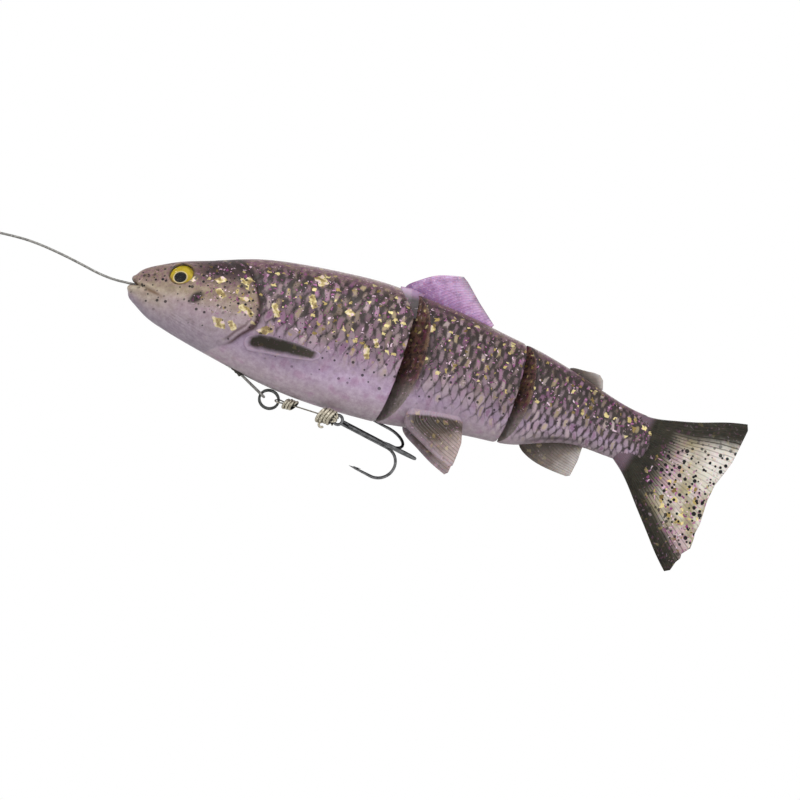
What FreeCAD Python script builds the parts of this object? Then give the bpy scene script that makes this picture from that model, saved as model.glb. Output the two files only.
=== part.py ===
import FreeCAD, Part

# Jointed soft swimbait of the 200 mm class with a line-through stinger rig. Millimetres.
# The origin is where the leader enters the mouth. +X runs to the tail, +Z up, and +Y to the
# fish's right, so its left flank is on the -Y side.

import math
import os

Vector = FreeCAD.Vector
AXIS_X = Vector(1, 0, 0)
AXIS_Y = Vector(0, 1, 0)
AXIS_Z = Vector(0, 0, 1)
ORIGIN = Vector(0, 0, 0)

# ---------------------------------------------------------------- driving dimensions
# Body cross-sections: station along X, top, bottom, half width.
STATIONS = [
    (-0.6, 1.0, -3.4, 1.5),
    (0.6, 4.0, -5.0, 3.2),
    (3.0, 6.4, -6.5, 5.0),
    (7.0, 8.7, -8.8, 7.0),
    (13.0, 11.6, -10.8, 9.2),
    (23.0, 15.1, -13.2, 11.8),
    (35.0, 19.4, -15.7, 13.4),
    (47.0, 21.9, -17.9, 14.3),
    (63.0, 23.8, -19.4, 14.6),
    (79.0, 24.6, -19.2, 14.2),
    (91.0, 23.8, -18.3, 13.4),
    (105.0, 22.5, -15.8, 12.0),
    (119.0, 20.3, -13.9, 10.3),
    (131.0, 18.4, -12.3, 8.6),
    (141.0, 16.0, -8.6, 7.2),
    (151.0, 13.1, -6.6, 5.6),
    (159.0, 10.8, -6.9, 4.3),
    (168.0, 9.3, -8.3, 3.2),
]
SECTION_POINTS = 20

# Joint cuts: X of the swing axis, lean of the face ahead of it and of the face behind it.
FRONT_JOINT_X = 86.3
REAR_JOINT_X = 125.0
FIN_JOINT_X = 165.5
JOINT_GAP = 0.3
FACE_AHEAD_LEAN = 12.0
FACE_BEHIND_LEAN = 35.0
FIN_FACE_LEAN = 25.0

NET_THICK = 0.8
WEB_REACH = 2.0
FIN_THICK = 1.4
TAIL_FIN_ROOT = 3.0
TAIL_FIN_EDGE = 0.8
TAIL_FIN_END_X = 201.5
PECTORAL_THICK = 1.1

PELVIC_ROOT_Y = 8.0
PELVIC_ROOT_Z = -12.0
PELVIC_SPLAY = 28.0

EYE_CENTRE = Vector(14.3, 8.3, 7.0)
EYE_NORMAL = Vector(-0.24, 0.88, 0.40)
EYE_RADIUS = 3.9
IRIS_THICK = 0.8
LENS_DOME = 1.3

# Leader and its route. The tube through the body is straight, so the rig slides along it.
LEADER_DIA = 0.8
RIG_PITCH = 27.0
TUBE_OUTER_DIA = 2.4
TUBE_BORE_DIA = 1.2
TUBE_START_X = 12.0
TUBE_END_X = 38.0
SLEEVE_DIA = 1.9
SLEEVE_LENGTH = 4.0
HOLE_DIA = 2.3
RING_LOOP_CENTRE = Vector(49.35, 0, -21.2)
LEADER_ROUTE = [
    Vector(12.0, 0, -2.17),
    Vector(7.4, 0, 0.17),
    Vector(1.2, 0, 0.1),
    Vector(-8.5, -0.2, -0.75),
    Vector(-21.0, -0.8, 1.7),
    Vector(-33.0, -1.2, 3.2),
    Vector(-41.5, -0.9, 3.1),
    Vector(-48.0, -0.2, 2.5),
]
END_SLEEVE_LENGTH = 3.6
LOOP_RADIUS = 1.35
LOOP_LEG_GAP = 0.1

# Split ring: its plane leans so that its top is nearer the left flank.
RING_RADIUS = 3.1
RING_RADIAL = 0.8
RING_AXIAL = 1.0
RING_LEAN = 28.0
RING_LOOP_ANGLE = 162.0
TRACE_LOOP_ANGLE = 8.0

# Trace and treble hook.
TRACE_DIA = 0.45
TRACE_LOOP_RADIUS = 1.1
HOOK_EYE = Vector(75.2, -5.5, -22.2)
HOOK_EYE_RADIUS = 1.5
HOOK_EYE_LOOP_RADIUS = 0.95
HOOK_WIRE_DIA = 1.0
HOOK_PITCH = 8.5
HOOK_YAW = 15.0
HOOK_SHANK_OFFSET = 0.64
HOOK_SHANK = 18.4
HOOK_BEND_RADIUS = 5.35
HOOK_LIMB = 5.2
HOOK_POINT = 2.6
HOOK_ROLLS = {"down": 18.0, "up": 122.0, "side": -88.0}
SIDE_HOOK_EXTRA = 2.6
RING_END_WRAPS = (2.6, 3.4, 2.9)
HOOK_END_WRAPS = (14.0, 3.6, 4.2)

# Barrel swivel at the leader's far end.
SWIVEL_EYE_RADIUS = 1.6
SWIVEL_WIRE_DIA = 0.8
SWIVEL_BARREL_DIA = 3.0
SWIVEL_BARREL_LENGTH = 5.0
SWIVEL_STEM_CLEARANCE = 0.06


# ---------------------------------------------------------------- small helpers
def unit(vector):
    return Vector(vector).normalize()


def direction(pitch, yaw=0.0):
    """Unit vector along +X, turned down by pitch and to +Y by yaw."""
    p = math.radians(pitch)
    y = math.radians(yaw)
    return Vector(math.cos(p) * math.cos(y), math.cos(p) * math.sin(y), -math.sin(p))


def placed(shape, origin, x_axis, y_axis):
    """Copy of a shape drawn in local axes, put at origin with its X and Y as given."""
    z_axis = x_axis.cross(y_axis).normalize()
    y_square = z_axis.cross(x_axis).normalize()
    turn = FreeCAD.Rotation(unit(x_axis), y_square, z_axis, "XYZ")
    copy = shape.copy()
    copy.Placement = FreeCAD.Placement(origin, turn).multiply(copy.Placement)
    return copy


def mirrored(shape):
    """The same piece on the other flank."""
    return shape.mirror(ORIGIN, AXIS_Y)


def rod(start, end, diameter):
    along = end - start
    return Part.makeCylinder(diameter / 2, along.Length, start, along)


def prism(points, low_y, high_y):
    """Solid from an outline of (x, z) points, between two heights along Y."""
    wire = Part.makePolygon([Vector(x, low_y, z) for x, z in points + points[:1]])
    return Part.Face(wire).extrude(Vector(0, high_y - low_y, 0))


def smooth_prism(groups, low_y, high_y):
    """As prism, but each group of (x, z) points is one smooth curve of the outline."""
    edges = []
    for group, following in zip(groups, groups[1:] + groups[:1]):
        points = [Vector(x, low_y, z) for x, z in group + following[:1]]
        if len(points) == 2:
            edges.append(Part.LineSegment(points[0], points[1]).toShape())
        else:
            curve = Part.BSplineCurve()
            curve.interpolate(points)
            edges.append(curve.toShape())
    return Part.Face(Part.Wire(edges)).extrude(Vector(0, high_y - low_y, 0))


def floor_prism(points, low_z, high_z):
    """Solid from an outline of (x, y) points, between two heights along Z."""
    wire = Part.makePolygon([Vector(x, y, low_z) for x, y in points + points[:1]])
    return Part.Face(wire).extrude(Vector(0, 0, high_z - low_z))


def wire_sweep(edges, diameter):
    """Round wire along a smooth path of edges."""
    path = Part.Wire(edges)
    start = path.Edges[0]
    tangent = start.tangentAt(start.FirstParameter)
    section = Part.Wire([Part.makeCircle(diameter / 2, start.valueAt(start.FirstParameter), tangent)])
    return path.makePipeShell([section], True, True)


def teardrop(length, leg_offset, radius, diameter):
    """Wire loop around the local origin in the local XY plane, its two legs ending at -X."""
    reach = math.hypot(length, leg_offset)
    angle = math.atan2(leg_offset, -length) - math.acos(radius / reach)
    touch = Vector(radius * math.cos(angle), radius * math.sin(angle), 0)
    touch_low = Vector(touch.x, -touch.y, 0)
    edges = [
        Part.LineSegment(Vector(-length, leg_offset, 0), touch).toShape(),
        Part.Arc(touch, Vector(radius, 0, 0), touch_low).toShape(),
        Part.LineSegment(touch_low, Vector(-length, -leg_offset, 0)).toShape(),
    ]
    return wire_sweep(edges, diameter)


def rounded_route(points, diameter, label):
    """Tube along straight runs joined by tangent arcs, each as large as its runs allow."""
    edges = []
    start = points[0]
    for before, corner, after in zip(points, points[1:], points[2:]):
        run_in = corner - before
        run_out = after - corner
        half_turn = run_in.getAngle(run_out) / 2
        cut = 0.45 * min(run_in.Length, run_out.Length)
        radius = cut / math.tan(half_turn)
        arc_start = corner - unit(run_in) * cut
        arc_end = corner + unit(run_out) * cut
        inward = unit(unit(run_out) - unit(run_in))
        middle = corner + inward * (radius / math.cos(half_turn) - radius)
        edges.append(Part.LineSegment(start, arc_start).toShape())
        edges.append(Part.Arc(arc_start, middle, arc_end).toShape())
        start = arc_end
        print(f"{label}: bend radius {radius:.1f} mm")
    edges.append(Part.LineSegment(start, points[-1]).toShape())
    tube = wire_sweep(edges, diameter)
    length = sum(edge.Length for edge in edges)
    ratio = tube.Volume / (math.pi * diameter ** 2 / 4 * length)
    print(f"{label}: length {length:.1f} mm, volume over section times length {ratio:.4f}")
    return tube


# ---------------------------------------------------------------- soft bodies
def section_wire(station, swell):
    """Oval cross-section as one closed curve."""
    x, top, bottom, half_width = station
    middle = (top + bottom) / 2
    half_height = (top - bottom) / 2
    points = []
    for step in range(SECTION_POINTS):
        angle = 2 * math.pi * step / SECTION_POINTS
        y = (half_width + swell) * math.cos(angle)
        points.append(Vector(x, y, middle + half_height * math.sin(angle)))
    curve = Part.BSplineCurve()
    curve.interpolate(points, PeriodicFlag=True)
    return Part.Wire([curve.toShape()])


def whole_body(swell=0.0):
    return Part.makeLoft([section_wire(station, swell) for station in STATIONS], True, False)


def face_line(joint_x, offset, lean):
    """Corner points of a V face seen from above: left edge, centre, right edge."""
    half = 30.0
    rise = half * math.tan(math.radians(lean))
    return [(joint_x + offset + rise, -half), (joint_x + offset, 0), (joint_x + offset + rise, half)]


def zone_ahead(joint_x, lean, start_x):
    """Everything from start_x to a V face that ends the body ahead of a joint."""
    points = [(start_x, -30.0)] + face_line(joint_x, -JOINT_GAP, lean) + [(start_x, 30.0)]
    return floor_prism(points, -60, 60)


def zone_behind(joint_x, lean, end_x):
    """Everything from the V face that starts the body behind a joint to end_x."""
    points = [(end_x, -30.0)] + face_line(joint_x, JOINT_GAP, lean) + [(end_x, 30.0)]
    return floor_prism(points, -60, 60)


def net_plate(points):
    return prism(points, -NET_THICK / 2, NET_THICK / 2)


def core_nets():
    """Strips of the moulded-in mesh: one in each body and one across each joint gap."""
    front_end = FRONT_JOINT_X - WEB_REACH
    middle_start = FRONT_JOINT_X + WEB_REACH
    middle_end = REAR_JOINT_X - WEB_REACH
    tail_start = REAR_JOINT_X + WEB_REACH
    return {
        "front_core_net": net_plate([
            (24, -5), (24, 10), (45, 16), (front_end, 19.5), (front_end, -14), (72, -14), (70, -6)]),
        "front_joint_web": net_plate([
            (front_end, -16), (front_end, 23.2), (middle_start, 23.0), (middle_start, -16)]),
        "middle_core_net": net_plate([
            (middle_start, -4), (middle_start, 18), (middle_end, 14), (middle_end, -8), (112, -5)]),
        "rear_joint_web": net_plate([
            (middle_end, -11), (middle_end, 18.6), (tail_start, 18.0), (tail_start, -11)]),
        "tail_core_net": net_plate([
            (tail_start, -8), (tail_start, 14), (152, 8.5), (160, 5), (160, -3), (150, -3)]),
    }


def keel_weight(start_x, end_x, z, radius):
    """Round-nosed lead slug in the belly."""
    barrel = rod(Vector(start_x + radius, 0, z), Vector(end_x - radius, 0, z), 2 * radius)
    noses = [Part.makeSphere(radius, Vector(x, 0, z)) for x in (start_x + radius, end_x - radius)]
    return barrel.fuse(noses).removeSplitter()


def mouth_cavity():
    """Slit between the lips and the throat channel that brings the leader to its tube."""
    slit = prism([(-2, 1.5), (-2, -1.3), (8, -1.3), (8, 1.6)], -5.6, 5.6)
    throat = prism([(7, 1.6), (7, -1.3), (TUBE_START_X, -3.2), (TUBE_START_X, -0.5)], -1.2, 1.2)
    return slit.fuse(throat)


# ---------------------------------------------------------------- fins
def median_fin(groups, body):
    return smooth_prism(groups, -FIN_THICK / 2, FIN_THICK / 2).cut(body)


def dorsal_fin(body):
    return median_fin([
        [(82.6, 25.2), (85.6, 28.2), (90.9, 31.7), (95.8, 33.3)],
        [(99.6, 34.1)],
        [(113.6, 22.1)],
        [(113.0, 18.0)],
        [(90.0, 21.0)],
        [(88.0, 25.0)]], body)


def adipose_fin(body):
    return median_fin([
        [(139.6, 16.0), (144.0, 17.0), (148.4, 17.3), (151.4, 16.6), (152.7, 12.8)],
        [(150.0, 10.0)],
        [(141.0, 12.0)]], body)


def anal_fin(body):
    return median_fin([
        [(131.4, -11.6), (136.0, -14.7), (141.7, -16.3), (149.4, -17.0)],
        [(150.6, -16.4), (151.8, -11.0), (151.7, -6.4)],
        [(145.0, -3.0)],
        [(134.0, -6.0)]], body)


def pelvic_fin(body):
    """Left pelvic fin: drawn upright beside the belly, then leant out about its root line."""
    root = PELVIC_ROOT_Z
    upright = smooth_prism([
        [(93.4, root + 2.0), (95.0, root - 4.0), (101.0, root - 9.8), (107.2, root - 13.9),
         (112.8, root - 16.6)],
        [(113.8, root - 15.6), (114.4, root - 7.0), (112.9, root + 0.4)],
        [(108.0, root + 4.0)]], -FIN_THICK / 2, FIN_THICK / 2)
    upright.rotate(Vector(0, 0, root), AXIS_X, -PELVIC_SPLAY)
    upright.translate(Vector(0, -PELVIC_ROOT_Y, 0))
    return upright.cut(body)


def pectoral_fin(body, swollen_body):
    """Left pectoral fin: a thin curved plate that lies on the flank."""
    blade = smooth_prism([
        [(39.5, -6.6), (45.5, -4.0), (54.5, -3.8), (63.1, -4.4)],
        [(64.1, -5.4), (61.9, -7.4), (51.5, -9.0), (41.5, -10.4)]], -40, 0)
    return blade.common(swollen_body).cut(body)


def tail_fin():
    """Tail fin plate, thick at its root and thin at its trailing edge."""
    blade = smooth_prism([
        [(FIN_JOINT_X - 2, 9.4), (171.0, 9.2), (184.0, 12.0), (194.6, 15.2), (200.6, 16.3)],
        [(200.9, 14.6), (199.2, 4.0), (195.4, -5.0), (194.4, -16.0), (193.8, -27.0), (188.4, -36.4)],
        [(179.1, -26.2), (169.9, -14.2), (FIN_JOINT_X - 2, -7.9)]], -10, 10)
    root_face = face_line(FIN_JOINT_X, JOINT_GAP / 2, FIN_FACE_LEAN)
    plan = floor_prism(root_face + [(TAIL_FIN_END_X, 30.0), (TAIL_FIN_END_X, -30.0)], -60, 60)
    taper = floor_prism([
        (FIN_JOINT_X - 2, -TAIL_FIN_ROOT), (FIN_JOINT_X + 4, -TAIL_FIN_ROOT),
        (TAIL_FIN_END_X, -TAIL_FIN_EDGE / 2), (TAIL_FIN_END_X, TAIL_FIN_EDGE / 2),
        (FIN_JOINT_X + 4, TAIL_FIN_ROOT), (FIN_JOINT_X - 2, TAIL_FIN_ROOT)], -60, 60)
    return blade.common(plan).common(taper)


# ---------------------------------------------------------------- eyes
def eye_parts():
    """Right eye's printed iris disc, its domed lens, and the socket they sit in."""
    normal = unit(EYE_NORMAL)
    seat = EYE_CENTRE - normal * 2.2
    iris = Part.makeCylinder(EYE_RADIUS, IRIS_THICK, seat, normal)
    lens_base = seat + normal * IRIS_THICK
    rim = Part.makeCylinder(EYE_RADIUS, 1.0, lens_base, normal)
    sphere_radius = (EYE_RADIUS ** 2 + LENS_DOME ** 2) / (2 * LENS_DOME)
    dome_base = lens_base + normal
    sphere = Part.makeSphere(sphere_radius, dome_base - normal * (sphere_radius - LENS_DOME))
    dome = sphere.common(Part.makeCylinder(EYE_RADIUS, LENS_DOME + 1.0, dome_base, normal))
    lens = rim.fuse(dome).removeSplitter()
    socket = Part.makeCylinder(EYE_RADIUS, 6.0, seat, normal)
    return iris, lens, socket


# ---------------------------------------------------------------- leader
def rig_line():
    """Unit vector of the tube, and the point of its axis at a given X."""
    along = direction(RIG_PITCH)

    def point_at(x):
        return RING_LOOP_CENTRE + along * ((x - RING_LOOP_CENTRE.x) / along.x)

    return along, point_at


def leader_parts():
    along, point_at = rig_line()
    start = point_at(TUBE_START_X)
    tube_end = point_at(TUBE_END_X)
    sleeve_start = tube_end + along * 0.15
    sleeve_end = sleeve_start + along * SLEEVE_LENGTH
    tube = rod(start, tube_end, TUBE_OUTER_DIA).cut(rod(start - along, tube_end + along, TUBE_BORE_DIA))
    loop_length = (RING_LOOP_CENTRE - sleeve_end).Length - LOOP_LEG_GAP
    loop = teardrop(loop_length, LEADER_DIA / 2 + 0.02, LOOP_RADIUS, LEADER_DIA)
    parts = {
        "line_tube": tube,
        "rig_leader": rod(start, sleeve_start, LEADER_DIA),
        "rig_sleeve": rod(sleeve_start, sleeve_end, SLEEVE_DIA),
        "rig_loop": placed(loop, RING_LOOP_CENTRE, along, AXIS_Y),
    }
    passage = rod(start - along * 2, sleeve_end + along * 6, HOLE_DIA)
    passage = passage.fuse(rod(start - along * 2, tube_end, TUBE_OUTER_DIA))
    return parts, passage


def leader_end():
    """Sleeve and loop at the far end of the leader, and the swivel that they hold."""
    end = LEADER_ROUTE[-1]
    along = unit(end - LEADER_ROUTE[-2])
    side = unit(AXIS_Y - along * along.dot(AXIS_Y))
    upright = along.cross(side)
    sleeve_end = end + along * END_SLEEVE_LENGTH
    loop_centre = sleeve_end + along * 4.6
    loop = teardrop(4.6 - LOOP_LEG_GAP, LEADER_DIA / 2 + 0.02, LOOP_RADIUS, LEADER_DIA)
    parts = {
        "leader_end_sleeve": rod(end, sleeve_end, SLEEVE_DIA),
        "leader_end_loop": placed(loop, loop_centre, along, side),
    }
    wire_radius = SWIVEL_WIRE_DIA / 2
    inner_eye = loop_centre + along * SWIVEL_EYE_RADIUS
    barrel_start = inner_eye + along * (SWIVEL_EYE_RADIUS + wire_radius + 0.2)
    barrel_end = barrel_start + along * SWIVEL_BARREL_LENGTH
    outer_eye = barrel_end + along * (SWIVEL_EYE_RADIUS + wire_radius + 0.3)
    ring = Part.makeTorus(SWIVEL_EYE_RADIUS, wire_radius, inner_eye, side)
    neck = rod(inner_eye + along * SWIVEL_EYE_RADIUS, barrel_start, SWIVEL_WIRE_DIA)
    shoulder = 0.8
    body = Part.makeCone(0.9, SWIVEL_BARREL_DIA / 2, shoulder, barrel_start, along)
    middle_start = barrel_start + along * shoulder
    body = body.fuse(Part.makeCylinder(
        SWIVEL_BARREL_DIA / 2, SWIVEL_BARREL_LENGTH - 2 * shoulder, middle_start, along))
    body = body.fuse(Part.makeCone(
        SWIVEL_BARREL_DIA / 2, 0.9, shoulder, barrel_end - along * shoulder, along))
    stem_start = barrel_end - along * 2.0
    bore = rod(stem_start - along * 0.2, barrel_end + along, SWIVEL_WIRE_DIA + 2 * SWIVEL_STEM_CLEARANCE)
    parts["swivel_barrel"] = body.fuse(ring.fuse(neck)).removeSplitter().cut(bore)
    outer_ring = Part.makeTorus(SWIVEL_EYE_RADIUS, wire_radius, outer_eye, upright)
    stem = rod(stem_start, outer_eye - along * SWIVEL_EYE_RADIUS, SWIVEL_WIRE_DIA)
    parts["swivel_outer_eye"] = outer_ring.fuse(stem).removeSplitter()
    print("swivel spin: point", outer_eye, "axis", along)
    return parts


# ---------------------------------------------------------------- ring, trace and hooks
def ring_frame():
    """Centre and axis of the split ring, and the point of its wire at an angle in its plane."""
    lean = math.radians(RING_LEAN)
    up = Vector(0, -math.sin(lean), math.cos(lean))
    axis = Vector(0, math.cos(lean), math.sin(lean))

    def offset(angle):
        a = math.radians(angle)
        return (AXIS_X * math.cos(a) + up * math.sin(a)) * RING_RADIUS

    centre = RING_LOOP_CENTRE - offset(RING_LOOP_ANGLE)
    return centre, axis, up, offset


def split_ring():
    centre, axis, up, _ = ring_frame()
    inner = RING_RADIUS - RING_RADIAL / 2
    outer = RING_RADIUS + RING_RADIAL / 2
    disc = Part.makeCylinder(outer, RING_AXIAL).cut(Part.makeCylinder(inner, RING_AXIAL))
    disc.translate(Vector(0, 0, -RING_AXIAL / 2))
    return placed(disc, centre, AXIS_X, up)


def hook_frame():
    """Shank direction, the axis of the hook's eye, and the direction away from the back."""
    shank = direction(HOOK_PITCH, HOOK_YAW)
    eye_axis = unit(AXIS_Y - shank * shank.dot(AXIS_Y))
    down = eye_axis.cross(shank)
    if down.z > 0:
        down = down * -1
    return shank, eye_axis, down


def hook_wire(roll, start, extra):
    """One hook: shank, round bend, limb and point, in the plane at the given roll."""
    shank, eye_axis, down = hook_frame()
    a = math.radians(roll)
    outward = down * math.cos(a) + eye_axis * math.sin(a)

    def at(along, away):
        return HOOK_EYE + shank * along + outward * (HOOK_SHANK_OFFSET + away)

    bend_start = HOOK_SHANK + extra
    radius = HOOK_BEND_RADIUS
    limb_end = at(bend_start - HOOK_LIMB, 2 * radius)
    edges = [
        Part.LineSegment(at(start, 0), at(bend_start, 0)).toShape(),
        Part.Arc(at(bend_start, 0), at(bend_start + radius, radius), at(bend_start, 2 * radius)).toShape(),
        Part.LineSegment(at(bend_start, 2 * radius), limb_end).toShape(),
    ]
    wire = wire_sweep(edges, HOOK_WIRE_DIA)
    point = Part.makeCone(HOOK_WIRE_DIA / 2, 0.06, HOOK_POINT, limb_end, shank * -1)
    return wire.fuse(point).removeSplitter()


def hooks():
    shank, eye_axis, _ = hook_frame()
    eye = Part.makeTorus(HOOK_EYE_RADIUS, HOOK_WIRE_DIA / 2, HOOK_EYE, eye_axis)
    double = eye.fuse([hook_wire(HOOK_ROLLS["down"], HOOK_EYE_RADIUS, 0.0),
                       hook_wire(HOOK_ROLLS["up"], HOOK_EYE_RADIUS, 0.0)])
    single = hook_wire(HOOK_ROLLS["side"], HOOK_EYE_RADIUS + 2.2, SIDE_HOOK_EXTRA)
    return {"double_hook": double.removeSplitter(), "single_hook": single}


def trace_parts():
    """Thin wire from the split ring to the hook's eye, a loop at each end, and its wraps."""
    centre, ring_axis, _, offset = ring_frame()
    _, eye_axis, _ = hook_frame()
    start = centre + offset(TRACE_LOOP_ANGLE)
    toward = unit(HOOK_EYE - start)
    in_eye_plane = unit(toward - eye_axis * toward.dot(eye_axis))
    end = HOOK_EYE - in_eye_plane * HOOK_EYE_RADIUS
    along = unit(end - start)
    length = (end - start).Length
    leg = TRACE_DIA / 2 - 0.03
    front_loop = placed(teardrop(3.4, leg, TRACE_LOOP_RADIUS, TRACE_DIA), start, along * -1, ring_axis)
    rear_loop = placed(teardrop(3.4, leg, HOOK_EYE_LOOP_RADIUS, TRACE_DIA), end, along, eye_axis)
    middle = rod(start + along * 3.0, end - along * 3.0, TRACE_DIA)
    wire = middle.fuse([front_loop, rear_loop])
    parts = {"trace_wire": wire}
    for name, (from_ring, wrap_length, diameter) in (
            ("ring_end_wraps", RING_END_WRAPS), ("hook_end_wraps", HOOK_END_WRAPS)):
        first = start + along * from_ring
        parts[name] = rod(first, first + along * wrap_length, diameter).cut(wire)
    print(f"trace: loop centre to loop centre {length:.1f} mm")
    return parts


# ---------------------------------------------------------------- assembly
def build():
    body = whole_body()
    swollen = whole_body(PECTORAL_THICK)
    nets = core_nets()
    net_list = list(nets.values())
    iris, lens, socket = eye_parts()
    leader, passage = leader_parts()
    front_weight = keel_weight(52.0, 68.0, -12.5, 3.4)
    middle_weight = keel_weight(97.0, 108.0, -9.0, 2.4)

    front = body.common(zone_ahead(FRONT_JOINT_X, FACE_AHEAD_LEAN, -10.0))
    front = front.cut(net_list + [front_weight, mouth_cavity(), passage, socket, mirrored(socket)])
    middle_zone = zone_behind(FRONT_JOINT_X, FACE_BEHIND_LEAN, 150.0)
    middle_zone = middle_zone.common(zone_ahead(REAR_JOINT_X, FACE_AHEAD_LEAN, 60.0))
    middle = body.common(middle_zone).cut(net_list + [middle_weight])
    tail_zone = zone_behind(REAR_JOINT_X, FACE_BEHIND_LEAN, 190.0)
    stalk_end = floor_prism([(90, -30), (FIN_JOINT_X - JOINT_GAP / 2, -30),
                             (FIN_JOINT_X - JOINT_GAP / 2, 30), (90, 30)], -60, 60)
    tail = body.common(tail_zone).common(stalk_end).cut(net_list)

    pectoral = pectoral_fin(body, swollen)
    pelvic = pelvic_fin(body)
    parts = {
        "front_body": front,
        "middle_body": middle,
        "tail_body": tail,
        "dorsal_fin": dorsal_fin(body),
        "adipose_fin": adipose_fin(body),
        "anal_fin": anal_fin(body),
        "left_pectoral_fin": pectoral,
        "right_pectoral_fin": mirrored(pectoral),
        "left_pelvic_fin": pelvic,
        "right_pelvic_fin": mirrored(pelvic),
        "tail_fin": tail_fin(),
        "front_keel_weight": front_weight,
        "middle_keel_weight": middle_weight,
        "left_iris": mirrored(iris),
        "right_iris": iris,
        "left_lens": mirrored(lens),
        "right_lens": lens,
        "free_leader": rounded_route(LEADER_ROUTE, LEADER_DIA, "free leader"),
        "split_ring": split_ring(),
    }
    parts.update(nets)
    parts.update(leader)
    parts.update(leader_end())
    parts.update(trace_parts())
    parts.update(hooks())
    return parts


def main():
    os.makedirs("parts", exist_ok=True)
    for name, shape in build().items():
        solids = shape.Solids
        if len(solids) != 1 or not shape.isValid():
            print("CHECK", name, "solids", len(solids), "valid", shape.isValid())
        solid = solids[0] if len(solids) == 1 else shape
        solid.exportStep(f"parts/{name}.step")
    centre, axis, _, _ = ring_frame()
    shank, eye_axis, _ = hook_frame()
    print("ring centre", centre, "axis", axis)
    print("hook eye", HOOK_EYE, "axis", eye_axis, "shank", shank)
    print("line slide axis", direction(RIG_PITCH))


main()
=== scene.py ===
import math

import bpy
import numpy as np
from mathutils import Matrix, Vector


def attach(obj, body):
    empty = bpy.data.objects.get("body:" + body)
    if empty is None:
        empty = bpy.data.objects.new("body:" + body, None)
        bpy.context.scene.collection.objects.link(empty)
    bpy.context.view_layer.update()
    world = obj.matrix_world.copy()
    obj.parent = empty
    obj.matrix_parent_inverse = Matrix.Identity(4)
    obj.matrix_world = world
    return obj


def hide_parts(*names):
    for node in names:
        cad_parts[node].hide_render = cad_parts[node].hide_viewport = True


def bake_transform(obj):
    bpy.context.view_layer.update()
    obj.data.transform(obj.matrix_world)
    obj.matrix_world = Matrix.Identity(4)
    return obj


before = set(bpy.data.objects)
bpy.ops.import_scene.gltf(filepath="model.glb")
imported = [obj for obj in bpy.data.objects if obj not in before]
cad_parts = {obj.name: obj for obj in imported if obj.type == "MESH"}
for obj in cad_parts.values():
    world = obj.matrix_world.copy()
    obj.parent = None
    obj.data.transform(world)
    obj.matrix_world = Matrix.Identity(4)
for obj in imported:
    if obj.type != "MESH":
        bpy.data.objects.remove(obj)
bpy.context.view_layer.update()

# Looks of the jointed swimbait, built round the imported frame. Lengths are in millimetres until a
# piece's mesh is made. -Y is the left flank, the one that faces the camera.
MM = 0.001

# ---------------------------------------------------------------- body shape
# Body cross-sections: station along X, top, bottom, half width.
STATIONS = np.array([
    (-0.9, -1.2, -1.2, 0.0),
    (-0.6, 1.0, -3.4, 1.5),
    (0.6, 4.0, -5.0, 3.2),
    (3.0, 6.4, -6.5, 5.0),
    (7.0, 8.7, -8.8, 7.0),
    (13.0, 11.6, -10.8, 9.2),
    (23.0, 15.1, -13.2, 11.8),
    (35.0, 19.4, -15.7, 13.4),
    (47.0, 21.9, -17.9, 14.3),
    (63.0, 23.8, -19.4, 14.6),
    (79.0, 24.6, -19.2, 14.2),
    (91.0, 23.8, -18.3, 13.4),
    (105.0, 22.5, -15.8, 12.0),
    (119.0, 20.3, -13.9, 10.3),
    (131.0, 18.4, -12.3, 8.6),
    (141.0, 16.0, -8.6, 7.2),
    (151.0, 13.1, -6.6, 5.6),
    (159.0, 10.8, -6.9, 4.3),
    (168.0, 9.3, -8.3, 3.2),
    (174.0, 9.1, -12.0, 2.6),
])
NOSE_X = STATIONS[0, 0]
FRONT_JOINT_X = 86.3
REAR_JOINT_X = 125.0
FIN_JOINT_X = 165.5
JOINT_GAP = 0.3
FACE_AHEAD_LEAN = 12.0
FACE_BEHIND_LEAN = 35.0

# Scales are upright lozenges whose pitch along X shrinks towards the tail.
SCALE_START_X = 40.0
SCALE_PITCH = 3.5
SCALE_PITCH_LOSS = 0.0102
SCALE_ASPECT = 2.4
SCALE_RELIEF = 0.26

CAMERA_ELEVATION = math.radians(-6.0)
CAMERA_ROLL = math.radians(17.5)
CAMERA_TARGET = Vector((92.0, 0.0, -9.7)) * MM
CAMERA_DISTANCE = 0.9
FIELD_WIDTH = 0.254
SENSOR_WIDTH = 36.0

# ---------------------------------------------------------------- rig
LEADER_DIA = 0.8
LEADER_ROUTE = [
    (12.0, 0.0, -2.17),
    (7.4, 0.0, 0.17),
    (1.2, 0.0, 0.1),
    (-8.5, -0.2, -0.75),
    (-21.0, -0.8, 1.7),
    (-33.0, -1.2, 3.2),
    (-41.5, -0.9, 3.1),
    (-48.0, -0.2, 2.5),
]


# ---------------------------------------------------------------- small helpers
def unit(vector):
    """The vector's direction, as a vector of length 1."""
    vector = np.asarray(vector, float)
    return vector / np.linalg.norm(vector)


def smoothstep(value, low, high):
    """0 up to low, 1 from high, smooth between."""
    t = np.clip((value - low) / (high - low), 0, 1)
    return t * t * (3 - 2 * t)


def bell(value, width):
    """1 at 0, falling away smoothly on both sides."""
    return np.exp(-(value / width) ** 2)


def arch(share, power):
    """0 at both ends of a line and 1 at its middle."""
    return np.sin(math.pi * np.clip(share, 0, 1)) ** power


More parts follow.
